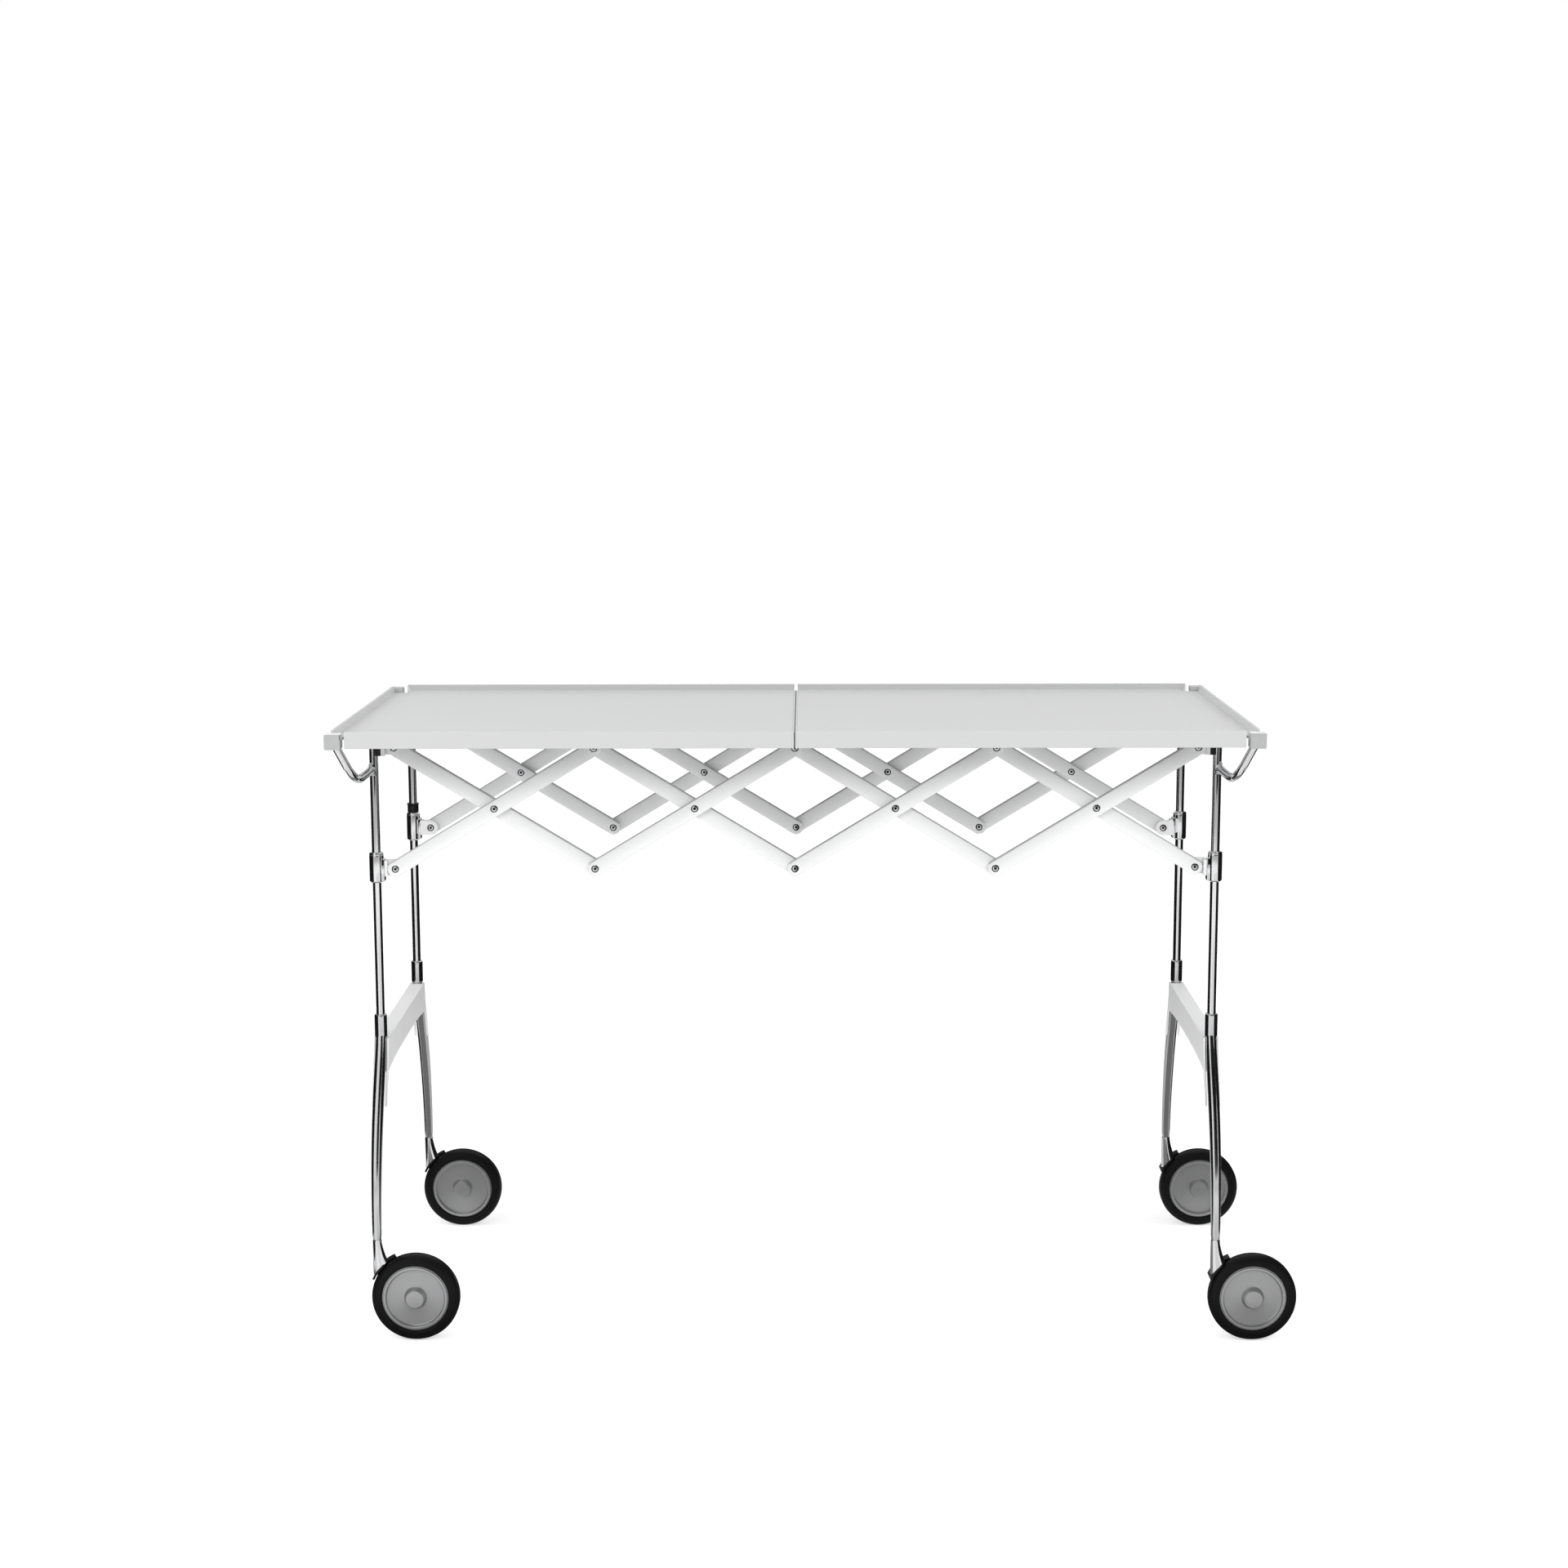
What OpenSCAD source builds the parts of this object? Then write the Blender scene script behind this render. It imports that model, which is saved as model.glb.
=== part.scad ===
// Folding service table on casters. Two tray halves lie on a front and a rear lattice of
// crossed bars that open and close between two end frames.
// X runs along the table, Y from front to back, Z up. The floor is at Z = 0.

/* [Trays] */
// Length over both tray halves
tray_l = 1046; // [960:2:1120]
// Depth of the trays from front to back
tray_w = 470; // [450:2:500]
// Height of the tray rim above the floor
table_h = 720; // [690:1:760]
// Height of a tray's side
tray_skirt = 19; // [18:0.5:21]
// Thickness of a tray's sides
tray_wall = 3; // [2:0.5:3.5]
// Thickness of a tray's bottom
tray_floor = 3; // [2:0.5:3.5]
// Depth of a tray inside its rim
tray_recess = 8; // [6:0.5:8.5]
// Width of the seam between the halves at the top
seam_gap = 3.4; // [3:0.1:5]
// How far each seam face leans back at its lower edge
seam_draft = 1.9; // [1.8:0.1:3]

/* [Tray hinges] */
// Distance of the hinge axis from the tray's end
hinge_inset = 4.2; // [4:0.1:5]
// Depth of the hinge axis below the tray rim
hinge_drop = 11.5; // [11.5:0.1:12]
// Diameter of a hinge pin
hinge_pin_d = 5; // [4:0.1:5]
// Length of a hinge pin inside the tray
hinge_pin_l = 9; // [6:0.5:12]
// Width of a corner block along the table
block_x = 18; // [17:0.5:19]
// Depth of a corner block from front to back
block_y = 17; // [16:0.5:18]
// Height of a corner block
block_z = 17.5; // [16:0.5:18]
// How far a corner block stands out of the tray's side
block_proud = 1; // [0.5:0.1:2]
// Radius of a corner block's long edges
block_edge = 1.5; // [0.5:0.1:3]
// Gap between a corner block and the tray beside it
block_gap = 2; // [1.5:0.1:2.5]
// Room that the tray leaves round a corner block as it turns
block_room = 1; // [0.6:0.1:2]
// Extra cut in the tray's bottom for the bent arm
arm_relief = 5; // [5:0.5:8]
// Thickness of the tray round a hinge pin
boss_wall = 3; // [3:0.5:4]

/* [Legs] */
// Distance of the leg rods from the tray's end
leg_inset = 35; // [34:0.5:38]
// Distance from the front to the rear leg rods
rod_span = 285; // [270:1:300]
// Diameter of a leg rod
rod_d = 10; // [9:0.1:10]
// Distance from the front to the rear casters
foot_span = 416; // [400:1:425]
// Height of the upper end of a ferrule
ferrule_top = 372; // [366:1:378]
// Length of a ferrule
ferrule_l = 27; // [24:1:30]
// Diameter of a ferrule
ferrule_d = 14.6; // [13.5:0.1:16]
// How far a leg rod sits in its ferrule
rod_socket = 24; // [18:0.5:24]
// Bevel at a ferrule's upper end
ferrule_bevel = 1; // [0.5:0.1:1.5]
// How far a lower leg runs up into its ferrule
leg_overlap = 10; // [6:1:14]
// Height at which a caster meets its lower leg
ankle_z = 120; // [118:0.5:124]
// Thickness of a lower leg along the table, half way down
leg_thick = 13; // [12:0.1:13.5]
// Width of a lower leg from front to back, half way down
leg_wide = 16; // [14:0.5:18]
// Diameter of a lower leg at its foot
ankle_d = 10.6; // [10:0.1:12]
// How sharply a lower leg bends at its upper end
upper_bend = 38; // [30:1:45]
// How gently a lower leg bends back at its foot
lower_bend = 131; // [110:1:140]
// How far a lower leg's swelling has begun at its upper end
swell_start = 0.1; // [0:0.02:0.2]

/* [Arms] */
// Diameter of a bent arm
arm_d = 9.3; // [8:0.1:9.4]
// Depth of an arm's root below the tray rim
arm_drop = 55; // [52:0.5:58]
// Distance from a leg rod to the arm's knee, front to back
knee_reach = 74; // [70:0.5:76]
// Distance from a leg rod to the arm's knee, along the table
knee_out = 7.5; // [5:0.5:9]
// Height of the knee below the arm's root
knee_fall = 3; // [0:0.5:6]
// Radius of an arm's bend
knee_r = 14; // [12:0.5:16]
// Length of the weld flare at an arm's root
flare_l = 14; // [10:0.5:20]
// Diameter of the weld flare at the leg rod
flare_d = 16.8; // [14:0.1:18]
// Distance from the hinge axis back to the arm's upper end
seat_back = 3.6; // [3:0.1:4]
// Distance from a corner block's inner face to the arm's axis
seat_in = 7; // [6.5:0.1:8]

/* [Cross-pieces] */
// Thickness of a cross-piece along the table
cross_t = 18; // [16:0.5:20]
// Height of a cross-piece's top edge
cross_top = 344.5; // [340:0.5:344.5]
// Height of a cross-piece's arch in the middle
arch_top = 312.5; // [308:0.5:316]
// Height at which the arch meets the lower legs
arch_end = 306; // [300:0.5:308]
// How flat the arch runs in its middle
arch_flat = 3; // [2:0.5:5]
// Height of the lower tips of a cross-piece's cheeks
cross_tip = 268; // [262:1:280]
// How far the cheeks reach round a lower leg at their upper end
cheek_grip = 8; // [5:0.5:8]

/* [Lattice] */
// Width of a bar
bar_w = 18; // [16:0.5:18.4]
// Thickness of a bar
bar_t = 8; // [7:0.5:8]
// Depth of the fixed pivots below the tray rim
pivot_drop = 30.5; // [30:0.1:32]
// Height from the lower to the upper pivots
lattice_rise = 141.5; // [135:0.5:148]
// Distance from a leg rod to the end pivots
pivot_reach = 23; // [22.5:0.1:25]
// Gap between neighbouring bars
layer_gap = 0.4; // [0.3:0.1:0.6]
// Diameter of a pivot screw's shank
screw_d = 5; // [4:0.1:5]
// Diameter of a pivot screw's head
head_d = 7; // [6:0.1:7.6]
// Thickness of a pivot screw's head
head_t = 1.8; // [1.4:0.1:2]
// Diameter of the counterbore round a screw head
sink_d = 8.8; // [8.2:0.1:9.4]
// Depth of a counterbore
sink_t = 2.2; // [2.1:0.1:2.6]
// Gap under the inner heads of the pivot screws
head_gap = 0.2; // [0.1:0.05:0.3]
// Width of a screw's hexagon socket
hex_w = 2.8; // [2:0.1:3.2]
// Depth of a hexagon socket
hex_t = 0.8; // [0.5:0.1:1]
// Width of the rounded lugs at the end pivots
lug_w = 18.4; // [17:0.1:19]

/* [Leg heads] */
// Width of the tab that carries a leg head
tab_w = 9; // [7:0.5:9.5]
// Thickness of the tab from front to back
tab_t = 9; // [6:0.5:9]
// Diameter of the white cap on a leg rod
cap_d = 16; // [14:0.5:17]
// Thickness of the cap over the rod's end
cap_t = 2.7; // [2:0.1:4]
// Height of the cap's lower face above the tray's lower edge
cap_rise = 2; // [1:0.5:3]

/* [Sleeves] */
// Diameter of a sliding sleeve
sleeve_d = 16.7; // [16:0.1:17]
// Length of a sliding sleeve
sleeve_l = 35.5; // [32:0.5:38]
// Length of a sleeve above its pivot
sleeve_up = 19; // [17:0.5:20]
// Length of the bevel at a sleeve's ends
sleeve_bevel = 1.6; // [0.5:0.1:2.5]
// Gap between a sleeve and its leg rod
slide_gap = 0.25; // [0.2:0.01:0.3]
// Distance from a sleeve's axis to its flat cheek
cheek_reach = 10; // [9.5:0.1:10.5]
// Length of the cheek
cheek_l = 26; // [24:0.5:28]
// Width of the cheek
cheek_w = 11.2; // [10:0.1:12]
// Diameter of the stop collar
collar_d = 14; // [13:0.1:16]
// Height of the stop collar
collar_h = 11.5; // [8:0.5:14]
// Height of the collar's lip
lip_h = 2; // [1:0.5:3]
// How far the lip stands out
lip_out = 0.8; // [0.4:0.1:1.2]

/* [Casters] */
// Diameter of a wheel
wheel_d = 102.6; // [98:0.2:104]
// Width of a tyre
tyre_w = 22; // [20:0.5:22]
// Thickness of a tyre from hub to tread
tyre_t = 12.3; // [11:0.1:13]
// Radius of a tyre's shoulders
tyre_round = 8; // [5:0.5:8.5]
// Distance from the swivel axis back to the wheel's axle
trail = 44; // [42:0.5:46]
// Diameter of a swivel stem
stem_d = 6; // [5:0.1:6.5]
// Length of a swivel stem
stem_l = 25; // [18:0.5:28]
// Thickness of the crown over the tyre, where it is thickest
crown_t = 2.9; // [2.6:0.1:3.2]
// Gap between the tyre and the crown
crown_gap = 0.8; // [0.6:0.1:1.2]
// How far the crown reaches to the front of the tyre's middle
crown_front = 7; // [5:0.5:9]
// How far the crown's round is shifted towards the neck, which thins its front
crown_lean = 11; // [9:0.5:12]
// Direction of the shift, as an angle from the trailing direction
lean_angle = 150; // [146:1:154]
// Angle, from the trailing direction, at which the crown starts
crown_start = 120; // [118:1:124]
// Angle at which the crown reaches its whole width
crown_full = 132; // [128:1:138]
// Angle at which the crown ends
crown_end = 156; // [152:1:162]
// How far a caster neck widens towards its wheel
neck_flare = 6.5; // [4:0.5:8]
// How far a caster neck widens to the front and back
neck_swell = 1.5; // [1:0.1:2]
// Height of the neck's lowest point above the axle
neck_foot = 21; // [18:0.5:24]
// Thickness of the arm behind a wheel
fork_t = 4; // [3:0.5:5]
// Gap between a wheel and the arm behind it
fork_gap = 0.6; // [0.4:0.1:1]
// Diameter of an axle
axle_d = 8; // [6:0.1:9]
// Diameter of the bosses round an axle
axle_boss_d = 24; // [20:0.5:26]
// How far a hub's ring lies inside the tyre's front
ring_in = 0.5; // [0:0.1:1]
// How far a hub's ring stands out of the tyre's seat
ring_out = 1.5; // [1:0.1:2]
// How far a hub lies inside the tyre's back
back_in = 2; // [1:0.5:3]
// Outer radius of a hub's raised ring
ring_r = 37.8; // [36:0.1:38.5]
// Width of a hub's raised ring
ring_w = 3.5; // [2.5:0.1:5]
// Depth of a hub's face inside its ring
face_in = 4.5; // [3:0.5:6]
// Diameter of a hub's raised centre
boss_d = 25; // [22:0.5:28]
// Diameter of the raised centre's front
boss_tip_d = 21.5; // [18:0.5:22]
// How far a hub's centre stands out of its ring
boss_out = 3.8; // [2:0.1:5]
// Thickness of a hub's disc
disc_t = 4; // [3.5:0.5:5]
// Thickness of a hub in front of its axle
hub_skin = 3; // [2:0.5:3.5]

/* [Fits] */
// Gap of a turning fit, and between pieces that are pressed together
fit_gap = 0.05; // [0.03:0.01:0.08]
// Gap between a tray and the leg heads it lies on
rest_gap = 0.3; // [0.2:0.05:0.4]
// Gap between a tyre and its hub
tyre_gap = 0.2; // [0.15:0.05:0.3]
// Gap between a lower leg and the caster neck below it
swivel_gap = 0.4; // [0.3:0.05:0.6]

/* [Hidden] */
$fn = 64;

// Heights
skirt_z = table_h - tray_skirt;
floor_z = table_h - tray_recess;
under_z = floor_z - tray_floor;
hinge_z = table_h - hinge_drop;
high_z = table_h - pivot_drop;
low_z = high_z - lattice_rise;
wheel_r = wheel_d / 2;
cap_z = skirt_z + cap_rise;

// Places along the table, from its middle
tray_end = tray_l / 2;
hinge_x = tray_end - hinge_inset;
leg_x = tray_end - leg_inset;
pivot_x = leg_x - pivot_reach;
cell = pivot_x / 2;
reach_right = max(leg_x + trail + wheel_r, hinge_x + block_x / 2);
reach_left = max(leg_x - trail + wheel_r, hinge_x + block_x / 2);
// The part's origin lies under the middle of its outline, which the trailing wheels shift
mid_x = (reach_left - reach_right) / 2;

// Places from front to back, from the middle
rod_y = rod_span / 2;
foot_y = foot_span / 2;
block_out = tray_w / 2 + block_proud;
block_in = block_out - block_y;
notch_y = block_in - block_gap;
notch_x = hinge_x - norm([block_x, block_z]) / 2 - block_room;

// Lattice
bar_l = norm([cell, lattice_rise]);
bar_angle = atan2(lattice_rise, cell);
rising_y = rod_y + layer_gap / 2;
falling_y = rising_y - layer_gap - bar_t;
deep_y = falling_y - layer_gap - bar_t;
root_x = pivot_x + lug_w / 2 + layer_gap;

// ---- helpers ----

// Moves a piece drawn from the table's middle into the part's frame
module from_middle() {
  translate([mid_x, 0, 0]) children();
}

// Turns a piece drawn at the right rear corner to another corner
module corner(side, end) {
  mirror([side < 0 ? 1 : 0, 0, 0]) mirror([0, end < 0 ? 1 : 0, 0]) children();
}

// Cylinder along Y from y0 to y1
module y_rod(d, y0, y1) {
  translate([0, y1, 0]) rotate([90, 0, 0]) cylinder(d = d, h = y1 - y0);
}

// Closed skin over a list of rings with equal numbers of points
module skin(rings) {
  n = len(rings[0]);
  m = len(rings);
  walls = [
    for (i = [0 : m - 2], j = [0 : n - 1])
    let (a = i * n + j, b = i * n + (j + 1) % n)
    each [[a, b, b + n], [a, b + n, a + n]]
  ];
  first = [for (j = [n - 1 : -1 : 0]) j];
  last = [for (j = [0 : n - 1]) (m - 1) * n + j];
  polyhedron([for (r = rings) each r], concat(walls, [first, last]));
}

function bezier(a, b, c, d, t) =
  a * pow(1 - t, 3) + 3 * b * t * pow(1 - t, 2) + 3 * c * t * t * (1 - t) + d * pow(t, 3);

// ---- trays ----

module tray(side) {
  color("gainsboro") from_middle() corner(side, 1) difference() {
    tray_body();
    tray_notches();
    for (end = [-1, 1]) mirror([0, end < 0 ? 1 : 0, 0])
      translate([hinge_x, 0, hinge_z])
      y_rod(hinge_pin_d + 2 * fit_gap, notch_y - hinge_pin_l - 1, notch_y + 1);
  }
}

// Rim, bottom and hinge bosses, with the leaning seam face
module tray_body() {
  half_w = tray_w / 2;
  difference() {
    rotate([90, 0, 0]) translate([0, 0, -half_w]) linear_extrude(tray_w)
      polygon([
        [seam_gap / 2, table_h], [tray_end, table_h], [tray_end, skirt_z],
        [seam_gap / 2 + seam_draft, skirt_z]
      ]);
    translate([-1, -half_w + tray_wall, floor_z])
      cube([tray_end - tray_wall + 1, tray_w - 2 * tray_wall, tray_skirt]);
    difference() {
      translate([-1, -half_w + tray_wall, skirt_z - 1])
        cube([tray_end - tray_wall + 1, tray_w - 2 * tray_wall, under_z - skirt_z + 1]);
      for (end = [-1, 1]) mirror([0, end < 0 ? 1 : 0, 0])
        translate([
          hinge_x - hinge_pin_d / 2 - boss_wall, notch_y - hinge_pin_l - boss_wall, skirt_z - 2
        ])
        cube([tray_wall + hinge_inset + hinge_pin_d, hinge_pin_l + boss_wall, tray_skirt]);
      seam_rib();
    }
  }
}

// Stiffening rib under the seam edge
module seam_rib() {
  rotate([90, 0, 0]) translate([0, 0, -tray_w / 2]) linear_extrude(tray_w)
    polygon([
      [0, table_h], [seam_gap / 2 + tray_wall, table_h],
      [seam_gap / 2 + seam_draft + tray_wall, skirt_z - 2], [0, skirt_z - 2]
    ]);
}

// Room for the corner blocks and the bent arms
module tray_notches() {
  for (end = [-1, 1]) mirror([0, end < 0 ? 1 : 0, 0]) {
    translate([notch_x, notch_y, skirt_z - 1]) cube([hinge_x, tray_w, tray_skirt + 2]);
    translate([notch_x - arm_relief, notch_y, skirt_z - 1])
      cube([hinge_x, tray_w / 2 - tray_wall - notch_y, floor_z - skirt_z + 2]);
  }
}

module corner_blocks(side) {
  color("silver") from_middle() for (end = [-1, 1]) corner(side, end)
    translate([hinge_x, 0, hinge_z]) {
      corner_block();
      y_rod(hinge_pin_d, notch_y - hinge_pin_l, block_in + 1);
    }
}

// Block with its four long edges rounded
module corner_block() {
  x = block_x / 2 - block_edge;
  z = block_z / 2 - block_edge;
  for (i = [-1, 1], k = [-1, 1]) translate([i * x, 0, k * z])
    y_rod(2 * block_edge, block_in, block_out);
  translate([-x, block_in, -block_z / 2]) cube([2 * x, block_y, block_z]);
  translate([-block_x / 2, block_in, -z]) cube([block_x, block_y, 2 * z]);
}

// ---- end frames ----

rod_foot = ferrule_top - rod_socket;
rod_head = under_z - rest_gap - cap_t;
arm_root = [leg_x, rod_y, table_h - arm_drop];
arm_knee = arm_root + [knee_out, knee_reach, -knee_fall];
arm_tip = [hinge_x - seat_back, block_in + seat_in, hinge_z - block_z / 2];

module leg_rod(side, end) {
  color("silver") from_middle() corner(side, end) {
    translate([leg_x, rod_y, rod_foot]) cylinder(d = rod_d, h = rod_head - rod_foot);
    bent_arm();
    // tab that carries the white leg head
    translate([leg_x - tab_w, rod_y - tab_t / 2, high_z - lug_w / 2])
      cube([tab_w, tab_t, cap_z - high_z + lug_w / 2]);
  }
}

// Round arm from the leg rod to the underside of the corner block, with one bend and a
// weld flare at its root
arm_sides = 20;
bend_steps = 8;
module bent_arm() {
  u = (arm_knee - arm_root) / norm(arm_knee - arm_root);
  v = (arm_tip - arm_knee) / norm(arm_tip - arm_knee);
  turn = acos(u * v);
  setback = knee_r * tan(turn / 2);
  normal = cross(v, u) / norm(cross(v, u));
  spoke = cross(normal, u);
  centre = arm_knee - u * setback - spoke * knee_r;
  bend = [
    for (i = [0 : bend_steps])
    let (a = turn * i / bend_steps)
    arm_ring(
      centre + knee_r * (spoke * cos(a) + u * sin(a)), u * cos(a) - spoke * sin(a), normal, arm_d
    )
  ];
  tip_ring = [
    for (p = arm_ring(arm_tip, v, normal, arm_d)) p + v * (arm_tip.z - p.z) / v.z
  ];
  skin(concat(
    [
      arm_ring(arm_root, u, normal, flare_d),
      arm_ring(arm_root + u * (rod_d / 2 + flare_l), u, normal, arm_d)
    ],
    bend, [tip_ring]
  ));
}

// Ring of diameter d about point c, square to direction way
function arm_ring(c, way, normal, d) = [
  for (j = [0 : arm_sides - 1])
  let (a = 360 * j / arm_sides)
  c + d / 2 * (cos(a) * normal + sin(a) * cross(normal, way))
];

// Centre line of a lower leg: height and distance from the middle, for t from 0 to 1
leg_top = ferrule_top - ferrule_l + leg_overlap;
leg_z = [leg_top, leg_top - upper_bend, ankle_z + lower_bend, ankle_z];
function leg_at(t) = [
  bezier(rod_y, rod_y, foot_y, foot_y, t),
  bezier(leg_z[0], leg_z[1], leg_z[2], leg_z[3], t)
];
slope_step = 0.01;
function leg_slope(t) =
  let (d = leg_at(min(t + slope_step, 1)) - leg_at(max(t - slope_step, 0))) d / norm(d);
// Half sizes of a lower leg's section
function leg_swell(t) = sin(180 * min(1, swell_start + (1 - swell_start) * t));
function leg_rx(t) = (ankle_d + (leg_thick - ankle_d) * leg_swell(t)) / 2;
function leg_ry(t) = (ankle_d + (leg_wide - ankle_d) * leg_swell(t)) / 2;

leg_steps = 18;
leg_sides = 20;
leg_rings = [
  for (i = [0 : leg_steps])
  let (t = i / leg_steps, c = leg_at(t), s = leg_slope(t))
  [
    for (j = [0 : leg_sides - 1])
    let (a = 360 * j / leg_sides, w = leg_ry(t) * sin(a))
    [leg_x + leg_rx(t) * cos(a), c[0] - w * s[1], c[1] + w * s[0]]
  ]
];

module lower_leg(side, end) {
  color("darkgray") from_middle() corner(side, end) difference() {
    union() {
      skin(leg_rings);
      translate([leg_x, rod_y, ferrule_top - ferrule_l])
        cylinder(d = ferrule_d, h = ferrule_l - ferrule_bevel);
      translate([leg_x, rod_y, ferrule_top - ferrule_bevel])
        cylinder(d1 = ferrule_d, d2 = ferrule_d - 2 * ferrule_bevel, h = ferrule_bevel);
    }
    translate([leg_x, rod_y, rod_foot - rest_gap])
      cylinder(d = rod_d + 2 * fit_gap, h = rod_socket + 1);
    translate([leg_x, foot_y, ankle_z - 1]) cylinder(d = stem_d + 2 * fit_gap, h = stem_l + 2);
  }
}

// Distance from the middle to the inner side of a lower leg, at parameter t
function leg_inside(t) =
  let (c = leg_at(t), s = leg_slope(t)) [c[0] + leg_ry(t) * s[1], c[1] - leg_ry(t) * s[0]];

cross_steps = 12;
cheek_root = 2;
// Parameter of the centre line at which a lower leg's inner side has height z
function find_t(z, lo = 0, hi = 1, n = 20) =
  n == 0 ? (lo + hi) / 2 :
  leg_inside((lo + hi) / 2)[1] > z ? find_t(z, (lo + hi) / 2, hi, n - 1)
                                   : find_t(z, lo, (lo + hi) / 2, n - 1);

// Points along a lower leg's inner side between two heights
function inner_side(z0, z1) = [
  for (i = [0 : cross_steps])
  let (t0 = find_t(z0), t1 = find_t(z1), p = leg_inside(t0 + (t1 - t0) * i / cross_steps))
  [p[0] - fit_gap, p[1]]
];

// Arched piece between the front and rear lower legs, with cheeks that grip their sides
module cross_piece(side) {
  edge = inner_side(cross_top, arch_end);
  arch = [
    for (i = [0 : cross_steps])
    let (y = edge[cross_steps][0] * cos(90 * i / cross_steps))
    [y, arch_top - (arch_top - arch_end) * pow(y / edge[cross_steps][0], arch_flat)]
  ];
  half = concat(edge, arch);
  other = [for (i = [len(half) - 2 : -1 : 0]) [-half[i][0], half[i][1]]];
  color("whitesmoke") from_middle() translate([side * leg_x, 0, 0]) rotate([90, 0, 90]) {
    translate([0, 0, -cross_t / 2]) linear_extrude(cross_t) polygon(concat(half, other));
    for (i = [-1, 1], k = [-1, 1]) mirror([i < 0 ? 1 : 0, 0, 0]) mirror([0, 0, k < 0 ? 1 : 0])
      translate([0, 0, leg_thick / 2 + fit_gap])
      linear_extrude(cross_t / 2 - leg_thick / 2 - fit_gap) cheek_shape();
  }
}

// Side view of a cheek: it covers a lower leg's side and tapers to nothing at its tip
module cheek_shape() {
  edge = inner_side(cross_top, cross_tip);
  grip = [
    for (i = [0 : cross_steps]) edge[i] + [cheek_grip * (1 - i / cross_steps), 0]
  ];
  back = [for (i = [cross_steps : -1 : 0]) [edge[i][0] - cheek_root, edge[i][1]]];
  intersection() {
    polygon(concat(grip, back));
    translate([0, cross_tip]) square([tray_w, cross_top - cross_tip]);
  }
}

// Rounded lug with its pivot hole, drawn for the right rear corner at height z.
// The bars of the falling layer need the lug one layer deeper.
module pivot_lug(z, back, root_end) {
  y0 = back ? deep_y : falling_y;
  difference() {
    union() {
      translate([pivot_x, 0, z]) y_rod(lug_w, y0, y0 + bar_t);
      translate([pivot_x, y0, z - lug_w / 2]) cube([root_end - pivot_x, bar_t, lug_w]);
      translate([root_x, y0, z - lug_w / 2])
        cube([root_end - root_x, rod_y + rod_d / 2 - y0, lug_w]);
    }
    translate([pivot_x, 0, z]) {
      y_rod(screw_d + 2 * fit_gap, y0 - 1, y0 + bar_t + 1);
      y_rod(sink_d, y0 - 1, y0 + sink_t);
    }
  }
}

// White heads on the leg rods: a cap under the tray and the lug of the fixed pivot
module leg_heads(side) {
  back = side < 0;
  tab_x = leg_x - tab_w;
  cap_h = under_z - rest_gap - cap_z;
  color("whitesmoke") from_middle() for (end = [-1, 1]) corner(side, end) {
    pivot_lug(high_z, back, tab_x);
    difference() {
      union() {
        translate([leg_x, rod_y, cap_z]) cylinder(d = cap_d, h = cap_h);
        translate([root_x, rod_y - rod_d / 2, cap_z]) cube([leg_x - root_x, rod_d, cap_h]);
        translate([root_x, rod_y - rod_d / 2, high_z])
          cube([tab_x - root_x, rod_d, cap_z + cap_h - high_z]);
      }
      translate([leg_x, rod_y, skirt_z])
        cylinder(d = rod_d + 2 * fit_gap, h = rod_head - skirt_z + fit_gap);
    }
  }
}

// ---- sliding sleeves ----

module sleeves(side) {
  color("silver") from_middle() for (end = [-1, 1]) corner(side, end) {
    top = low_z + sleeve_up;
    difference() {
      union() {
        translate([leg_x, rod_y, top - sleeve_l]) sleeve_shell();
        translate([leg_x - cheek_reach, rod_y - cheek_w / 2, top - sleeve_l + sleeve_bevel])
          cube([cheek_reach, cheek_w, cheek_l]);
      }
      translate([leg_x, rod_y, top - sleeve_l - 1])
        cylinder(d = rod_d + 2 * slide_gap, h = sleeve_l + 2);
    }
  }
}

module sleeve_shell() {
  small = sleeve_d - 2 * sleeve_bevel;
  cylinder(d1 = small, d2 = sleeve_d, h = sleeve_bevel);
  translate([0, 0, sleeve_bevel]) cylinder(d = sleeve_d, h = sleeve_l - 2 * sleeve_bevel);
  translate([0, 0, sleeve_l - sleeve_bevel]) cylinder(d1 = sleeve_d, d2 = small, h = sleeve_bevel);
}

module sleeve_lugs(side) {
  color("whitesmoke") from_middle() for (end = [-1, 1]) corner(side, end)
    pivot_lug(low_z, side > 0, leg_x - cheek_reach);
}

// Collar fixed on the left rear rod just above its sleeve
module stop_collar() {
  z = low_z + sleeve_up + rest_gap;
  color("dimgray") from_middle() corner(-1, 1) translate([leg_x, rod_y, z]) difference() {
    union() {
      cylinder(d = collar_d, h = collar_h - lip_h);
      translate([0, 0, collar_h - lip_h])
        cylinder(d1 = collar_d, d2 = collar_d + 2 * lip_out, h = lip_h / 2);
      translate([0, 0, collar_h - lip_h / 2])
        cylinder(d1 = collar_d + 2 * lip_out, d2 = collar_d, h = lip_h / 2);
    }
    translate([0, 0, -1]) cylinder(d = rod_d + 2 * fit_gap, h = collar_h + 2);
  }
}

// ---- lattice ----

// Middle of bar number i along X, from the table's middle
function bar_mid(i) = (i - 2.5) * cell;

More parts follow.
